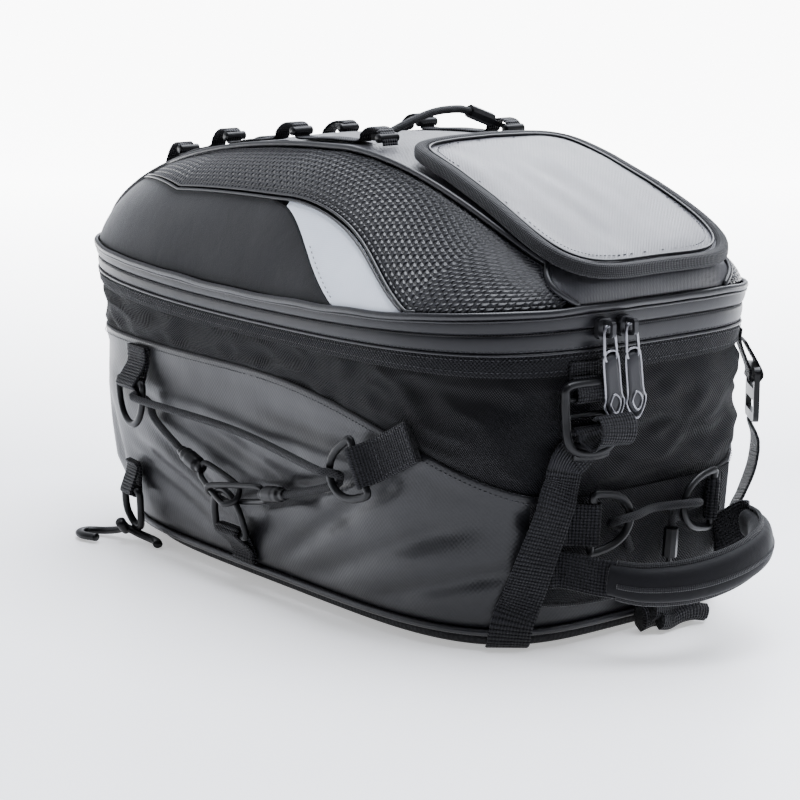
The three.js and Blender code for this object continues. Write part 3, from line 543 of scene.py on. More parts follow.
# the flap's own twill, under a glossier coat
glossTwill = cloth("glossTwill", "#3a3a3e", "#5c5c62", "twill", 1.3, 0.12, 0.33, ior=1.55, sheen=0.05, bump=0.6,
                   weaveShadeTone=0.16, crease=0.14, creaseScale=30.0, fuzz=0.08)
# lining taffeta: thin, dull and a little crumpled
lining = cloth("liningTaffeta", "#1d1d20", "#34343a", "plain", 0.8, 0.08, 0.6, ior=1.22, bump=0.4, crease=0.3)
# polypropylene webbing: thick ribs across the band, with painted shade between them and a painted highlight on
# each rib
webbing = cloth("ribbedWebbing", "#030304", "#222226", "rib", 2.1, 1.0, 0.55, ior=1.22, sheen=0.04, bump=1.0,
                weaveShadeTone=0.62, mottle=0.2, crease=0.05)
# grosgrain tape: fine ribs across a dull narrow band
grosgrain = cloth("grosgrainBinding", "#0b0b0c", "#29292b", "rib", 1.3, 0.4, 0.66, ior=1.22, sheen=0.15,
                  bump=0.8, weaveShadeTone=0.45, crease=0.08)
# neoprene with a knitted face: velvety, no highlight
neoprene = cloth("neoprene", "#08080a", "#16161a", "plain", 0.7, 0.05, 0.7, ior=1.22, sheen=0.12, bump=0.3,
                 weaveShadeTone=0.06, crease=0.2, fuzz=0.25)
# braided polyester sleeve of the elastic cords: a crossing pattern every 1.8 mm
braid = cloth("braidedSleeve", "#0f0f10", "#38383a", "braid", 1.8, 0.3, 0.55, ior=1.22, bump=0.8,
              weaveShadeTone=0.35, crease=0.02)
# polyester thread: a faint lustre on each stitch
thread = hardSurface("polyesterThread", "#1c1c1f", "#313136", 0.5, grain=2500.0, bump=0.3)
# moulded acetal: near black, a soft highlight on a fine spark-eroded skin
acetal = hardSurface("mouldedAcetal", "#070708", "#111113", 0.34, ior=1.30, grain=700.0, bump=0.18)
# nickel-plated zinc casting: pale metal with a slightly clouded shine
zincMetal = hardSurface("nickelPlatedZinc", "#6a6a6e", "#9a9aa0", 0.34, metallic=1.0, grain=500.0, bump=0.12)
# moulded rubber: dark and matt
rubber = hardSurface("mouldedRubber", "#131316", "#25252a", 0.45, ior=1.36, grain=1200.0, bump=0.2)
# zinc casting with a black electroplate: darker, tighter shine
blackMetal = hardSurface("blackenedZinc", "#1b1b1d", "#343437", 0.32, metallic=0.6, bump=0.1)
print("materials made")


# cords first: braided elastic, 5 mm
cordLook = {"radius": 2.5, "sides": 12}


def cordPiece(name, points, count, body, node, exitAt):
    line = catmull(points, count)
    bm = drawAlong(line, circle(cordLook["radius"], cordLook["sides"]))
    piece = finishPiece(name, bm, braid, body, (node,))
    return piece


lacing = {"front": (-134, 114, 90, 24), "rear": (124, 102, 27, 46), "middle": (-20, 36, -90, 22)}
ringLift = 8.6


def lacingFrame(key, side):
    x, z, turn, _ = lacing[key]
    return sideFrame(x, z, side).turned(turn if side < 0 else 180 - turn)


def frameBetween(start, end, out):
    along = (end - start).normalized()
    flat = (out - along * out.dot(along)).normalized()
    return Frame(start.copy(), along, flat.cross(along), flat)


frontRing, rearRing, middleRing = (lacingFrame(key, -1) for key in ("front", "rear", "middle"))
over, under = ringLift + 2.1 + 2.5 + 0.4, ringLift - 2.1 - 2.5 - 0.4
startFrame, endFrame = sideFrame(-63, 76, -1), sideFrame(38, 70, -1)
leftHook = frameBetween(startFrame.origin, middleRing.at(-24.8, 9, 0), startFrame.out)
rightHook = frameBetween(endFrame.origin, middleRing.at(-22.9, -11, 0), endFrame.out)
cordPiece("lacingCord", [leftHook.at(-0.4, 0, 8), leftHook.at(-8.4, 0, 8), frontRing.at(-22, -25, under),
                         frontRing.at(-12, -17, under), frontRing.at(-7, -10.5, ringLift),
                         frontRing.at(-6, -15, over), frontRing.at(-8, -24, over),
                         sideFrame(-10, 102, -1).at(0, 0, 6), rearRing.at(-34, 11, over),
                         rearRing.at(-25, 6, over), rearRing.at(-20.5, 2, ringLift),
                         rearRing.at(-25, 1, under), rearRing.at(-34, -2, under), rightHook.at(-8.4, 0, 8),
                         rightHook.at(-0.4, 0, 8)], 150, "bag_body", "lacing_cord_near", leftHook.at(0, 0, 8))

rearRings = [rearFrame(-50, 76).turned(180), rearFrame(50, 76)]
nearFace, farFace = rearRings
hang = rearFrame(16, 64)
cordPiece("rearCord", [
    rearFrame(-14, 54).at(0, 0, 4), nearFace.at(-28, 9, under), nearFace.at(-19, 4, under),
    nearFace.at(-16.5, 1, ringLift), nearFace.at(-20, -2, over), nearFace.at(-30, -3, over),
    rearFrame(0, 78).at(0, 0, 8), farFace.at(-30, 3, over), farFace.at(-20, 2, over),
    farFace.at(-16.5, -1, ringLift), farFace.at(-20, -4, under), farFace.at(-29, -8, under + 1),
    hang.at(0, 9, 8), hang.at(0, 0.6, 8)], 110, "bag_body", "rear_cord", rearFrame(-14, 54).at(0, 0, 4))

loopPlaces = [-172, -104, -30, 52]


def overTop(x, y, lift):
    return Vector((x, y, topZ(x, y) + lift))


cordPiece("topCord", [overTop(53, -57, 8.2), overTop(53, -46, 8.6), overTop(53, -30, 13), overTop(53, -8, 18),
                      overTop(53, 12, 19), overTop(53, 22, 17.5)], 50, "lid", "top_cord", overTop(53, -57, 8.2))
print("cords made")


# base: spacer mesh pad with a piped edge
def padPlace(u, v):
    profile = [(0.0, 0.0, -5), (0.6, 0.0, -5), (0.9, 0.0, -5), (1, 0.0, -5), (1, 1.4, -2.0), (1, 3.0, -0.4),
               (1, 5.0, 0.0), (1, 7.0, -0.4), (1, 8.0, -2.0), (0.6, 8.0, -2), (0, 8.0, -2)]
    reach, z, off = profile[round(v * (len(profile) - 1))]
    x, y = planPoint(-math.pi + 2 * math.pi * u, levelAt(0, off))
    return Vector((x * reach, y * reach, z))


finishPiece("basePad", layGrid(180, 10, padPlace, closed=True), padMesh, "bag_body", ("base_mesh_pad",))

outline = spread(-180, 180, around)


def ringLine(height, off, angles=outline):
    return [wallPoint(th, height(wallPoint(th, 150).x), off) for th in angles]


strip("basePiping", ringLine(lambda x: 10.8, 1.6), circle(2.2, 10), pipingVinyl, "bag_body", ("base_piping",),
      closed=True)

# lower body: coated cloth with the folds that the tight cord and straps pull into it
# each fold: x and z of its two ends on the near and far sides, half width, depth
folds = [(-120, 82, -20, 40, 5, 1.6), (-60, 96, 90, 66, 6, 1.3), (-10, 52, 110, 92, 5, 2.0),
         (30, 30, 150, 98, 6, 2.2), (60, 22, 190, 74, 7, 1.8), (-160, 60, -60, 30, 7, 1.5),
         (-180, 110, -90, 96, 6, 1.2), (-30, 34, -150, 70, 5, 1.4), (120, 20, 215, 50, 6, 1.4),
         (-200, 90, -170, 20, 6, 1.6), (10, 120, 120, 112, 7, 1.0)]
rearFolds = [(-90, 80, -30, 60, 5, 1.6), (90, 84, 30, 58, 5, 1.6), (-60, 30, 40, 38, 6, 1.4),
             (-20, 86, 60, 70, 5, 1.2)]


def foldDepth(a, z, lines):
    depth = 0.0
    for x0, z0, x1, z1, width, drop in lines:
        dx, dz = x1 - x0, z1 - z0
        along = clamp(((a - x0) * dx + (z - z0) * dz) / (dx * dx + dz * dz), -0.2, 1.2)
        away = math.hypot(a - x0 - dx * along, z - z0 - dz * along)
        fade = smooth((along + 0.2) / 0.4) * smooth((1.2 - along) / 0.4)
        depth += drop * 1.7 * fade * math.exp(-(away / width) ** 2)
    return depth


def lowerPlace(u, v):
    th = outline[round(u * around)]
    rim = seamZ(wallPoint(th, 120).x)
    z = mix(9.5, rim, v)
    flat = wallPoint(th, z)
    side = abs(math.sin(th)) > 0.5 or flat.x < 150
    creases = foldDepth(flat.x, z, folds) if side else foldDepth(flat.y, z, rearFolds)
    soft = 1.0 + ripple(flat, 55, 3.0) * 1.6 + ripple(flat, 22, 9.0) * 0.5
    pinch = math.exp(-(z - 9.5) / 5) * 1.5 + math.exp(-(rim - z) / 4) * 0.9
    return wallPoint(th, z, -(creases + max(0.0, soft)) * smooth(min(z - 9.5, rim - z) / 14) - pinch + 0.4)


finishPiece("lowerBody", layGrid(around, 64, lowerPlace, closed=True), coated, "bag_body", ("lower_shell",),
            thick=2.0)


def floorPlace(u, v):
    x, y = planPoint(-math.pi + 2 * math.pi * u, levelAt(12, -5))
    return Vector((x * (1 - v), y * (1 - v), 11.5 + 0.6 * math.sin(x * v / 20)))


finishPiece("floorBoard", layGrid(120, 12, floorPlace, closed=True), lining, "bag_body", (),
            thick=1.5)


# black cloth over the rear face, from just above the base to the gusset seam
def rearPanelPlace(u, v):
    y = mix(-84, 84, u)
    at = rearFrame(y, mix(24 + 6 * abs(y / 84) ** 3, 90, v))
    edge = min(u * 168, (1 - u) * 168, v * 66, (1 - v) * 66)
    swell = 1.6 * (1 - math.exp(-edge / 3)) + ripple(at.origin, 24, 12.0) * 1.6 * smooth(edge / 12)
    return at.at(0, 0, 0.4 + max(0.2, swell))


finishPiece("rearPanel", layGrid(84, 36, rearPanelPlace), twill, "bag_body", (), thick=1.2)
rearPanelEdge = [rearPanelPlace(k / 20, 0) for k in range(21)]
strip("rearPanelSeam", catmull(rearPanelEdge, 80), circle(1.3, 8), grosgrain, "bag_body")


# expansion gusset: crumpled twill between the body and the cuff
def gussetPlace(u, v):
    th = outline[round(u * around)]
    x = wallPoint(th, 150).x
    low, high = seamZ(x) - 1.5, bandZ(x, 0) + 2.0
    z = mix(low, high, v)
    flat = wallPoint(th, z)
    tall = (high - low) / 75
    pleats = math.sin(v * math.pi * 3 + ripple(flat, 60, 1.0) * 5) * 1.6 * tall
    crumples = (0.5 - abs(ripple((flat.x + flat.z * 0.8, flat.y, flat.z * 1.8), 30, 5.0))) * 5.0
    fine = ripple((flat.x * 1.1, flat.y * 1.1, flat.z * 1.8), 16, 7.0) * 0.9
    hold = smooth(min(v, 1 - v) * 6)
    slack = math.sin(math.pi * v) * 2.2 * tall
    return wallPoint(th, z, -1.6 + (pleats + crumples + fine + slack - 1.0) * hold)


gussetPiece = finishPiece("gussetCloth", layGrid(around, 44, gussetPlace, closed=True), twill, None,
                          ("gusset",), thick=0.9, level=1)
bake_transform(gussetPiece)


# bands round the zip
def bandPlace(low, high, off, bulge, wave, shiftLow=0.0, shiftHigh=0.0):
    def place(u, v):
        th = outline[round(u * around)]
        x = wallPoint(th, 150).x
        z = mix(bandZ(x, low) + shiftLow, bandZ(x, high) + shiftHigh, v)
        flat = wallPoint(th, z)
        swell = bulge * math.sin(math.pi * v) ** 0.7 if 0 < v < 1 else 0.0
        waver = ripple((flat.x, flat.y, 0), 38, 2.0) * wave
        return wallPoint(th, z + waver * 0.4, off + swell + waver)
    return place


finishPiece("cuffCloth", layGrid(around, 12, bandPlace(0, 0.34, 0.0, 1.0, 0.5, -1.0, 0.0), closed=True),
            cuffWeave, "upper_ring", ("cuff",), thick=2.0)
finishPiece("lowerZipTape", layGrid(around, 8, bandPlace(0.34, 0.67, -0.4, 0.8, 0.15, 0.0, -0.3), closed=True),
            zipTape, "upper_ring", ("zip_tape_lower",), thick=1.6)
finishPiece("upperZipTape", layGrid(around, 8, bandPlace(0.67, 0.94, -0.4, 0.8, 0.15, 0.5, 0.0), closed=True),
            zipTape, "lid", ("zip_tape_upper",), thick=1.6)
strip("zipCoil", ringLine(lambda x: bandZ(x, 0.67) - 0.6, -1.2), circle(1.1, 8), braid, "upper_ring", (),
      closed=True)


def beadLine(share, off, wave):
    points = []
    for th in outline[:-1]:
        x = wallPoint(th, 150).x
        flat = wallPoint(th, bandZ(x, share), off)
        points.append(flat + Vector((0, 0, ripple((flat.x, flat.y, 0), 34, 8.0) * wave)))
    return points + [points[0].copy()]


strip("lidBead", beadLine(0.985, -0.5, 1.0), oval(2.3, 1.7, 14), pipingVinyl, "lid", ("lid_bead",), closed=True)
strip("tapeSeam", beadLine(0.90, 0.2, 0.6), circle(0.8, 8), pipingVinyl, "lid", closed=True)
strip("cuffSeam", ringLine(lambda x: bandZ(x, 0.34), 0.5), circle(0.9, 8), pipingVinyl, "upper_ring",
      closed=True)
print("body and bands made")


# lid: moulded shell underneath, then each panel as its own cloth, sewn down along its edges
def liningPlace(u, v):
    th = outline[round(u * around)]
    if v < 0.08:
        x, y = planPoint(th, levelAt(185, -3))
        return Vector((x, y, mix(bandZ(x, 0.7), bandZ(x, 0.98), v / 0.08)))
    return lidPoint(th, mix(0.03, 2, (v - 0.08) / 0.92), -2.6)


finishPiece("lidLining", layGrid(around, 26, liningPlace, closed=True), lining, "lid", ("lid_shell",),
            thick=2.4)


def sidePanel(name, side, stretch, low, high, material, nodes, puff, rows=26, columns=150):
    run = spread(side * stretch[0], side * stretch[1], columns)
    if side > 0:
        run = run[::-1]

    def place(u, v):
        th = run[round(u * columns)]
        start = low(th)
        end = max(start + 0.02, high(th))
        t = mix(start, end, v)
        reach = (end - start) * 70
        edge = min(v, 1 - v) * reach
        ends = min(u, 1 - u) * 300
        flat = lidSurface(th, t)
        swell = puff * (1 - math.exp(-edge / 5)) * smooth(ends / 10) + ripple(flat, 40, 4.0) * 0.35
        return lidPoint(th, t, 1.2 + swell)

    return finishPiece(name, layGrid(columns, rows, place), material, "lid", nodes, thick=1.0)


def matteTop(th):
    wedge = reflectorEdge(th) + (1 if beadX(th) < -4 else 0)
    return min(carbonEdge(th), wedge, ridgeShare(th) - 0.03)


for label, side in (("Near", -1), ("Far", 1)):
    key = label.lower()
    sidePanel("mattePanel" + label, side, (162, 80), lambda th: 0.0, lambda th: matteTop(th) - 0.01, suede,
              ("lid_matte_panel_" + key,), 0.9)
    sidePanel("reflector" + label, side, (89.97, 62), lambda th: max(0.0, reflectorEdge(th) - 0.006),
              lambda th: carbonEdge(th) - 0.01, reflective, ("lid_reflector_" + key,), 0.2,
              columns=60)
    sidePanel("basketPanel" + label, side, (146, 16), lambda th: max(0.0, carbonEdge(th) + 0.012),
              lambda th: ridgeShare(th) - 0.02, basketVinyl, ("lid_carbon_panel_" + key,), 1.1,
              rows=34, columns=200)
    ridgeLine = [lidPoint(th, max(0.03, ridgeShare(th)), 2.4) for th in spread(side * 163, side * 12.5, 170)]
    strip("ridgePiping" + label, ridgeLine, circle(1.9, 10), pipingVinyl, "lid", ("ridge_piping_" + key,))
    for order, lift in ((0, 0.012), (1, -0.018)):
        edgeLine = [lidPoint(th, clamp(carbonEdge(th) + lift, 0.02, 1), 2.3)
                    for th in spread(side * 143, side * 60, 120) if carbonEdge(th) + lift > 0.01
                    and carbonEdge(th) < ridgeShare(th) - 0.02]
        strip("panelPiping%d%s" % (order, label), edgeLine, circle(0.9, 8), pipingVinyl, "lid")


def topPlace(u, v):
    th = outline[round(u * around)]
    start = max(0.02, ridgeShare(th) + 0.015)
    t = mix(start, 2, v ** 1.25)
    flat = lidSurface(th, min(t, 2))
    swell = 0.9 * (1 - math.exp(-v * 20)) + ripple(flat, 46, 6.0) * 0.7 * smooth(v * 5)
    return lidPoint(th, t, 1.2 + swell)


finishPiece("topPanel", layGrid(around, 60, topPlace, closed=True, flat=True), greyTwill, "lid",
            ("lid_top_panel",), thick=1.0)
print("lid made")


# webbing: tabs, loops and straps with rounded selvedges
def strapPiece(name, line, sides, width, thick, material, body, nodes):
    return finishPiece(name, drawAlong(line, ribbon(width, thick), sides=sides), material, body, nodes)


def tabPiece(name, at, length, nodes, width=25, body="bag_body"):
    reach = min(13, length - 2)
    path = [(length, 1.4), (reach, 1.4)]
    for k in range(9):
        a = math.pi * (1.5 - k / 8)
        path.append((3.8 * math.cos(a), ringLift + 3.8 * math.sin(a)))
    path += [(reach, 3.5), (length, 3.5)]
    line = catmull([at.at(a, 0, n) for a, n in path], 60)
    strapPiece(name, line, [at.up] * 61, width, 1.8, webbing, body, nodes)


ring = {"long": 28, "half": 17, "wire": 2.6}


def dRing(name, at, body, node, towards=-1):
    points = []
    for k in range(13):
        a = math.pi * k / 12
        points.append(at.at(towards * ring["long"] * math.sin(a) ** 0.8, ring["half"] * math.cos(a), ringLift))
    points += [at.at(0, b, ringLift) for b in (-10, -4, 4, 10)]
    rod(name, points, 96, oval(ring["wire"], 2.1, 14), acetal, body, (node,), closed=True)


tabStitches = []
for label, side in (("near", -1), ("far", 1)):
    for key in lacing:
        at = lacingFrame(key, side)
        length = lacing[key][3]
        tabPiece("tab%s%s" % (key.title(), label.title()), at, length, ("tab_%s_%s" % (key, label),))
        hangsOver = side > 0 and key == "middle"
        body = "bag_body" if side < 0 else "ring_%s_far" % key
        dRing("dRing%s%s" % (key.title(), label.title()), at, body, "ring_%s_%s" % (key, label),
              1 if hangsOver else -1)
        for a in ((length - 2.5, 11.5) if length < 30 else (length - 2.5, 34, 14)):
            tabStitches.append([at.at(a, b, 4.6) for b in (-10, 0, 10)])
        for b in (-10.6, 10.6):
            tabStitches.append([at.at(a, b, 4.6) for a in (12.5, length - 2)])


def cordHook(name, at, reach, node, body="bag_body"):
    sleeve = [at.at(a, 0, 8) for a in (-10, -9, 0, 15, 17)]
    girth = [3.6, 5.0, 5.4, 5.4, 3.8]
    bm = drawAlong(catmull(sleeve, 24), circle(1, 16), size=lambda u: girth[min(4, int(u * 4.99))])
    finishPiece(name + "Sleeve", bm, acetal, body, (node,), level=1)
    snap = [(15, -1.5, 8), (20, -5, 9.5), (reach - 7, -6, ringLift + 4.4), (reach + 1, -4.5, ringLift + 4.9),
            (reach + 6, 0, ringLift + 0.5), (reach + 1, 4.5, ringLift - 4.6), (reach - 7, 6, ringLift - 4.4),
            (20, 5, 6.5), (15, 1.5, 8)]
    rod(name + "Snap", [at.at(*p) for p in snap], 70, circle(1.9, 12), acetal, body)


cordHook("lacingHookFront", leftHook, (middleRing.at(-24.8, 9, 0) - startFrame.origin).length,
         "lacing_hook_front_near")
cordHook("lacingHookRear", rightHook, (middleRing.at(-22.9, -11, 0) - endFrame.origin).length,
         "lacing_hook_rear_near")

for label, at in (("Near", nearFace), ("Far", farFace)):
    tabPiece("tabRearFace" + label, at, 15.5, ("tab_rear_face_" + label.lower(),))
    dRing("dRingRearFace" + label, at, "bag_body", "ring_rear_face_" + label.lower())

tabPiece("tabMount", sideFrame(-150, 40, -1).turned(90), 18, ("tab_mount_front",), width=18)
mount = sideFrame(-150, 40, -1).turned(90)
mountFoot = mount.origin + mount.out * (ringLift + 7)
mountRing = [mount.at(a, b, ringLift) for a, b in ((0, -10), (0, 0), (0, 10), (-3, 12.5))]
mountRing += [mount.at(a, b, ringLift + 2.5) for a, b in ((-16, 11.5), (-25, 6), (-27, 0), (-25, -6),
                                                          (-16, -11.5))]
mountRing += [mount.at(-3, -12.5, ringLift)]
rod("mountRing", mountRing, 90, circle(2.5, 12), acetal, "mount_hook", closed=True)
lie = Vector((-1, -0.2, 0)).normalized()
mountFlat = Frame(Vector((mountFoot.x, mountFoot.y, 0)), lie, up.cross(lie), up)
hookWays = [(-30, -2, 3.6), (-22, -8, 3.8), (-8, -9, 6), (4, -8, 9), (14, -9, 6), (26, -9, 3.8), (36, -4, 3.6),
            (36, 4, 3.6), (28, 9, 3.6), (16, 9, 3.8)]
rod("mountHook", [mountFlat.at(*p) for p in hookWays], 90, oval(2.6, 3.3, 14), acetal,
    "mount_hook", ("mount_hook_front",))
swivel = [mountFlat.at(4, -8, 8), mountFlat.at(3, -3, 12), mountFlat.at(2, 0, 15)]
rod("mountSwivel", swivel, 12, circle(3.6, 14), acetal, "mount_hook")


# one run of strap after another over wall points given as degrees, height and lift
def wallStrap(name, route, before, nodes, body=None):
    stations = list(before)
    for degrees, z, lift in route:
        at = wallFrame(math.radians(degrees), z)
        stations.append((at.at(0, 0, lift), at))
    line = catmull([p for p, _ in stations], 110)
    sides = []
    for j in range(111):
        place = j / 110 * (len(stations) - 1)
        i = min(int(place), len(stations) - 2)
        sides.append(stations[i][1].along.lerp(stations[i + 1][1].along, place - i))
    return strapPiece(name, line, sides, 25, 1.8, webbing, body, nodes)


lockNear = wallFrame(math.radians(-10), 140, 5)
lockFar = wallFrame(math.radians(36), 130, 10)
threaded = [(7, -1, 12), (7, 1, 17), (7, -5, 21), (6, -13, 20), (4, -16, 14), (1, -13, 9), (0, -8.4, 6),
            (0, -7.4, 2), (0, -9, -1.6), (0, -18, -2.2)]
nearStrap = wallStrap("cornerStrapNear", [(-14.4, 112, 3.6), (-16, 100, 4), (-18, 88, 7.2), (-20, 74, 7.2),
                                          (-22.5, 57, 5.6), (-24.5, 42, 4), (-26.5, 30, 3.2), (-28.5, 20, 4.4),
                                          (-29.5, 12, 5.4), (-30, 6, 4.8), (-30.5, 2.6, 2)],
                      [(lockNear.at(a, b, n), lockNear) for a, b, n in threaded], ("corner_strap_near",))
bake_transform(nearStrap)
farStrap = wallStrap("cornerStrapFar", [(36, 109, 12), (37, 99, 15), (36, 84, 14), (34, 68, 9), (32, 54, 3.2),
                                        (31, 36, 2.2), (30, 22, 2.4)], [], ("corner_strap_far",))
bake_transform(farStrap)

for label, at, z, lift in (("Near", lockNear, 140, 5), ("Far", lockFar, 130, 10)):
    top = 170 - z
    path = [(top, 0.6 - lift + 1.6), (top - 9, 0.6 - lift + 1.6), (14.5, -1.6), (9, -1.6), (7.4, 1.8),
            (9, 5.2), (14.5, 5.2), (top - 8, 3.6 - lift + 1.6)]
    line = catmull([at.at(0, b, n) for b, n in path], 60)
    strapPiece("lockHanger" + label, line, [at.along] * 61, 22 if label == "Near" else 20, 1.5, webbing,
               "upper_ring", ())


def ladderLock(name, at, body, node):
    outer = [(-16, 17), (0, 18), (16, 17), (17.5, 10), (17, -2), (16, -14), (11, -20), (0, -22), (-11, -20),
             (-16, -14), (-17, -2), (-17.5, 10)]
    rod(name + "Frame", [at.at(a, b, 2.2 + 0.004 * (b - 6) ** 2) for a, b in outer], 120, circle(2.8, 14),
        acetal, body, (node,), closed=True)
    for order, b in enumerate((0.0, 9.5)):
        rod("%sBar%d" % (name, order), [at.at(a, b, 2.2) for a in (-17, 0, 17)], 12, circle(1.7, 12), acetal,
            body)
    lip = [at.at(a, -21 + 0.006 * a * a, 4.0 + 1.6 * (1 - (a / 12) ** 2)) for a in (-12, -6, 0, 6, 12)]
    rod(name + "Lip", lip, 30, oval(5.5, 1.6, 14), acetal, body)


ladderLock("lockNear", lockNear, "upper_ring", "buckle_near")

# handle: padded neoprene loop between two webbing ends
grip = {"path": [(253, -55, 47), (271, -43, 45), (285, -20, 46), (290, 8, 50), (285, 36, 55), (270, 56, 59),
                 (252, 66, 61)], "half": 10.5, "thick": 7.5}
gripLine = catmull(grip["path"], 90)


def gripSize(u):
    return 0.80 + 0.24 * math.sin(math.pi * clamp(u, 0.02, 0.98)) ** 0.5


section = [(signedPower(a, 0.8) * grip["half"], signedPower(b, 0.8) * grip["thick"]) for a, b in circle(1, 28)]
gripPiece = finishPiece("carryGrip", drawAlong(gripLine, section, size=gripSize), neoprene, "handle",
                        ("handle_grip",), level=1)
for edge, b in ((0, -1), (1, 1)):
    turnedLine = []
    for j, p in enumerate(gripLine[3:88]):
        turnedLine.append(p + Vector((0, 0, b * (grip["half"] * gripSize((j + 3) / 90) - 0.6))))
    strip("gripEdge%d" % edge, turnedLine, oval(3.2, 1.6, 10), grosgrain, "handle", ())

seamLine = []
for j in range(4, 87):
    along = (gripLine[j + 1] - gripLine[j - 1]).normalized()
    outward = along.cross(up).normalized()
    seamLine.append(gripLine[j] + outward * (grip["thick"] * gripSize(j / 90) * 0.97) + Vector((0, 0, -1.5)))
strip("gripSeam", seamLine, oval(1.5, 0.9, 8), grosgrain, "handle", ())

for label, side, end, inward in (("Near", -1, 0, 1), ("Far", 1, 6, 5)):
    end, inward = Vector(grip["path"][end]), Vector(grip["path"][inward])
    away = (end - inward).normalized()
    wall = rearFrame(side * 69, 50)
    onWall = [wall.at(side * -5, 0, 5.2), wall.at(side * 3, 0, 3.0)]
    line = catmull([end - away * 9, end + away * 1.6, end + away * 7] + onWall, 30)
    anchor = strapPiece("handleEnd" + label, line, [up] * 31, 22, 2.6, webbing, None,
                        ("handle_anchor_" + label.lower(),))
    tuple(wall.at(0, 0, 6) * mm)
    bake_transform(anchor)

# bundle of rolled mounting straps under the handle
rollFrame = rearFrame(20, 20)
rolls = [(-24, 24, -8, 10, 8), (-20, 20, -3, 14, 6), (-15, 26, -9, 18, 5)]
for order, (a0, a1, b, n, wide) in enumerate(rolls):
    points = []
    for t in (0, 0.25, 0.5, 0.75, 1):
        points.append(rollFrame.at(mix(a0, a1, t), b + 1.2 * math.sin(t * 9 + order), n + math.cos(t * 6)))
    line = catmull(points, 40)
    turns = []
    for k in range(24):
        a = 2 * math.pi * k / 24
        turns.append((wide * math.cos(a) * (1 + 0.08 * math.cos(6 * a)), 0.6 * wide * math.sin(a)))
    nodes = () if order else ("mount_strap_roll",)
    strip("strapRoll%d" % order, line, turns, webbing, "bag_body", nodes)

# four loops beside each ridge, each with a moulded barrel at its rear end
for label, side in (("near", -1), ("far", 1)):
    def rowY(x):
        return side * (53 - 22 * clamp((-x - 60) / 130) ** 1.5)

    route = []
    for i, x in enumerate(loopPlaces):
        for dx, rise in ((-13, 0), (-9, 4.5), (-4, 8), (2, 9.2), (8, 8), (11, 4), (12, 0)):
            route.append((x + dx, rise))
        if i < 3:
            route.append(((x + loopPlaces[i + 1]) / 2, 0))
    line = catmull([Vector((x, rowY(x), topZ(x, rowY(x)) + 4 + rise)) for x, rise in route], 240)
    strapPiece("loopRow" + label.title(), line, [Vector((0, 1, 0))] * 241, 12, 1.6, webbing, "lid",
               ("loop_row_" + label,))
    for i, x in enumerate(loopPlaces):
        y = rowY(x)
        height = topZ(x + 9, y) + 8.2
        barrel = [Vector((x + 9, y + b, height)) for b in (-7.5, -6.5, 0, 6.5, 7.5)]
        rod("loopBarrel%s%d" % (label.title(), i), barrel, 20, circle(2.9, 12), acetal, "lid")
print("webbing made")

# flap: padded grey panel with a ribbed binding
flap = {"front": 94, "rear": 240, "halfFront": 63, "halfRear": 74, "thick": 6.0, "lift": 7.0}


def flapPoint(th, s, off, lift):
    x, y = planPoint(th, (flap["front"] - off, flap["rear"] + off, flap["halfFront"] + off,
                          flap["halfRear"] + off), 9, 4)
    px = mix((flap["front"] + flap["rear"]) / 2, x, s)
    return Vector((px, y * s, topZ(px, y * s) + lift))


flapOutline = [-math.pi + 2 * math.pi * i / around for i in range(around + 1)]


def flapPlace(u, v):
    th = flapOutline[round(u * around)]
    if v <= 0.4:
        return flapPoint(th, v / 0.4, 0, flap["lift"] + 0.3)
    s = 1 - (v - 0.4) / 0.6
    flat = flapPoint(th, s, 0, 0)
    upper = flap["lift"] + flap["thick"]
    sewn = 2.0 * math.exp(-(1 - s) * 60 / 5)
    wrinkle = ripple((flat.x * 0.5, flat.y * 1.4, 0), 22, 2.5) * 1.3 + ripple(flat, 60, 8.0) * 1.4
    return flapPoint(th, s, 0, upper - sewn + wrinkle * smooth((1 - s) * 5))


finishPiece("flapPanel", layGrid(around, 60, flapPlace, closed=True, flat=True), glossTwill, "flap",
            ("flap_panel",))
bindingLine = [flapPoint(th, 1, 0.5, flap["lift"] + flap["thick"] / 2) for th in flapOutline]
profile = []
for a, b in circle(1, 20):
    profile.append((signedPower(a, 0.6) * 4.3, (1.5 if b > 0 else 0) - signedPower(b, 0.6) * 4.6))
binding = drawAlong(bindingLine, profile, closed=True, sides=[up] * (around + 1))
finishPiece("flapBinding", binding, grosgrain, "flap", ("flap_binding",))
innerLine = [flapPoint(th, 0.955, 0, flap["lift"] + flap["thick"] + 0.1) for th in flapOutline]
strip("flapPiping", innerLine, circle(0.8, 8), pipingVinyl, "flap", closed=True)

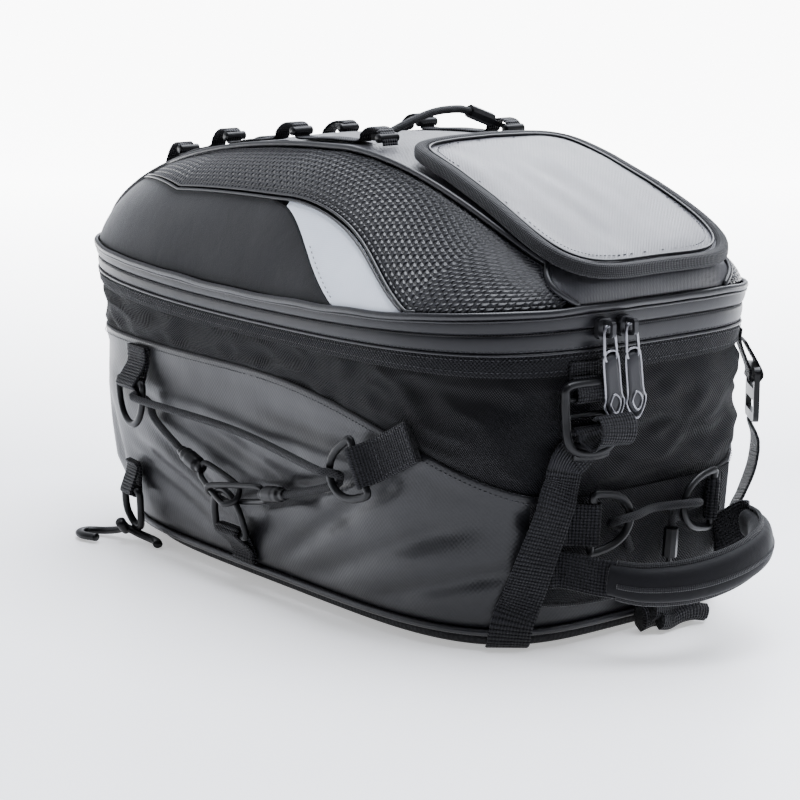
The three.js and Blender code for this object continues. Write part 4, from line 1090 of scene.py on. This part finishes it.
# zip pulls: a wire link, a dark rubber tongue and its pale raised border
pull = {"link": [(-3.4, 0.5), (-4.6, -8), (-4.4, -17), (0, -19), (4.4, -17), (4.6, -8), (3.4, 0.5), (0, 2)],
        "tongue": [(-4.6, -14), (-6.0, -19), (-6.4, -38), (-8.0, -43), (-5.5, -49), (0, -54), (5.5, -49),
                   (8.0, -43), (6.4, -38), (6.0, -19), (4.6, -14), (0, -12.5)], "tilt": 7}
for label, y, body in (("Near", -47, "pull_near"), ("Far", -30, "pull_far")):
    z = bandZ(236, 0.67)
    x = wallPoint(thetaWhere(y, 1, z, -1.4, 1.4), z).x
    slider = Frame(Vector((x + 8, y, z)), Vector((0, 1, 0)), up, Vector((1, 0, 0))).turned(pull["tilt"])
    link = [slider.at(a, b, 0.4 if b > -12 else 0) for a, b in pull["link"]]
    rod("pullLink" + label, link, 60, circle(0.9, 10), zincMetal, body, (), closed=True)
    rim = [slider.at(a, b, 0.2) for a, b in pull["tongue"]]
    rod("pullBorder" + label, rim, 120, circle(0.75, 8), zincMetal, body, (), closed=True)
    border = catmull(rim, 120, closed=True)
    middle = slider.at(0, -33, 0)

    def tonguePlace(u, v):
        spot = border[round(u * 120)]
        if v < 0.5:
            return middle.lerp(spot, v * 2 * 0.99) + slider.out * 1.1
        return middle.lerp(spot, (1 - v) * 2 * 0.99) - slider.out * 1.1

    finishPiece("pullTongue" + label, layGrid(120, 8, tonguePlace, closed=True), rubber, body,
                ("pull_" + label.lower(),))
    boss = [slider.at(a, b, 1.3) for a, b in ((-4, -43), (0, -38), (4, -43), (0, -49))]
    rod("pullBoss" + label, boss, 40, circle(0.7, 8), zincMetal, body, (), closed=True)

# stitches: short threads sunk into the cloth along each seam
stitch = {"length": 2.6, "pitch": 3.6, "radius": 0.32}
seams = {"bag_body": [], "upper_ring": [], "lid": [], "flap": []}
for points in tabStitches:
    length = sum((b - a).length for a, b in zip(points, points[1:]))
    seams["bag_body"].append(catmull(points, max(2, round(length / stitch["pitch"]))))
seamAngles = spread(-180, 180, 400)
for body, height, off in (("bag_body", lambda x: seamZ(x) - 4.5, 0.1),
                          ("upper_ring", lambda x: bandZ(x, 0.34) - 2.6, 1.0),
                          ("upper_ring", lambda x: bandZ(x, 0.0) + 2.0, 0.9),
                          ("upper_ring", lambda x: bandZ(x, 0.40), 0.2)):
    seams[body].append(ringLine(height, off, seamAngles))
for side in (-1, 1):
    stretch = [th for th in spread(side * 88, side * 66, 24) if reflectorEdge(th) > 0.02]
    seams["lid"].append([lidPoint(th, reflectorEdge(th) + 0.03, 2.2) for th in stretch])
    stretch = spread(side * 140, side * 25, 130)
    seams["lid"].append([lidPoint(th, max(0.03, ridgeShare(th) - 0.06), 2.5) for th in stretch])
seams["flap"].append([flapPoint(th, 0.90, 0, flap["lift"] + flap["thick"] - 0.2) for th in flapOutline[::2]])

for body, lines in seams.items():
    bm = bmesh.new()
    for line in lines:
        for a, b in zip(line, line[1:]):
            if (b - a).length < 0.5:
                continue
            along = (b - a).normalized()
            middle = (a + b) / 2
            reach = min(stitch["length"], (b - a).length * 0.72) / 2
            made = bmesh.ops.create_icosphere(bm, subdivisions=1, radius=1.0)["verts"]
            turn = along.to_track_quat("X", "Z")
            for vert in made:
                local = Vector((vert.co.x * reach, vert.co.y * stitch["radius"], vert.co.z * stitch["radius"]))
                vert.co = (middle + turn @ local) * mm
    finishPiece("stitches_" + body, bm, thread, body, ())
print("flap and stitches made")

# moulded and metal nodes of the frame keep their shape and take a finish
finishes = {"rear_cord_hook": acetal, "top_cord_hook": acetal, "buckle_far": acetal, "slider_near": blackMetal,
            "slider_far": blackMetal}
for node, material in finishes.items():
    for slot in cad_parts[node].material_slots:
        slot.material = material

# pale floor that glows, faintly in front of the bag and strongly behind it: painted light on the floor; soft
# lights
floorMaterial, floorTree, floorShader = startMaterial("studioFloor", 0.35)
floorShader.inputs["Base Color"].default_value = linear("#f4f4f6")
floorShader.inputs["Emission Color"].default_value = linear("#ffffff")
floorSpot = addNode(floorTree, "ShaderNodeTexCoord").outputs["Object"]
behind = addNode(floorTree, "ShaderNodeVectorMath", {0: floorSpot, 1: (-0.74, 0.66, 0.0)},
                 operation="DOT_PRODUCT").outputs["Value"]
# the floor's glow rises from 0.5 to 9 going back behind the bag: painted light standing in for a brightly lit
# sweep
floorGlow = addNode(floorTree, "ShaderNodeMapRange", {"Value": behind, "From Min": 0.3, "From Max": 2.4,
                                                   "To Min": 0.5, "To Max": 9.0})
floorTree.links.new(floorGlow.outputs[0], floorShader.inputs["Emission Strength"])
bm = bmesh.new()
bmesh.ops.create_grid(bm, x_segments=1, y_segments=1, size=12)
floorMesh = bpy.data.meshes.new("studioFloor")
bm.to_mesh(floorMesh)
bm.free()
floor = bpy.data.objects.new("studioFloor", floorMesh)
floor.data.materials.append(floorMaterial)
bpy.context.scene.collection.objects.link(floor)

# studio air: a white backdrop, bright behind the bag and to its left, dim behind the camera
world = bpy.data.worlds.new("studio")
bpy.context.scene.world = world
world.use_nodes = True
air = world.node_tree
direction = addNode(air, "ShaderNodeTexCoord").outputs["Generated"]
facing = addNode(air, "ShaderNodeVectorMath", {0: direction, 1: (-0.74, 0.62, 0.25)},
                 operation="DOT_PRODUCT").outputs["Value"]
glow = addNode(air, "ShaderNodeMapRange", {"Value": facing, "From Min": -0.5, "From Max": 0.85, "To Min": 0.05,
                                           "To Max": 1.1})
seen = addNode(air, "ShaderNodeLightPath").outputs["Is Camera Ray"]
level = addNode(air, "ShaderNodeMix", {"Factor": seen, "A": glow.outputs[0], "B": 14.0}, data_type="FLOAT")
backdrop = air.nodes["Background"]
backdrop.inputs[0].default_value = linear("#f4f7ff")
air.links.new(level.outputs[0], backdrop.inputs[1])

# softboxes: place, size, power
softboxes = {"top": ((0.0, 0.5, 2.4), (2.6, 2.0), 230), "back": ((-0.8, 1.5, 1.3), (1.6, 1.0), 45),
             "left": ((-1.9, -1.3, 0.9), (1.2, 1.2), 5), "rightRear": ((2.0, 0.7, 0.9), (0.8, 1.4), 5)}
for name, (spot, size, power) in softboxes.items():
    data = bpy.data.lights.new(name, "AREA")
    data.shape = "RECTANGLE"
    data.size, data.size_y = size
    data.energy = power
    data.color = linear("#f2f6ff")[:3]
    lamp = bpy.data.objects.new(name, data)
    lamp.location = spot
    lamp.rotation_euler = (Vector(spot) - Vector((0, 0, 0.15))).to_track_quat("Z", "Y").to_euler()
    bpy.context.scene.collection.objects.link(lamp)
print("studio made")
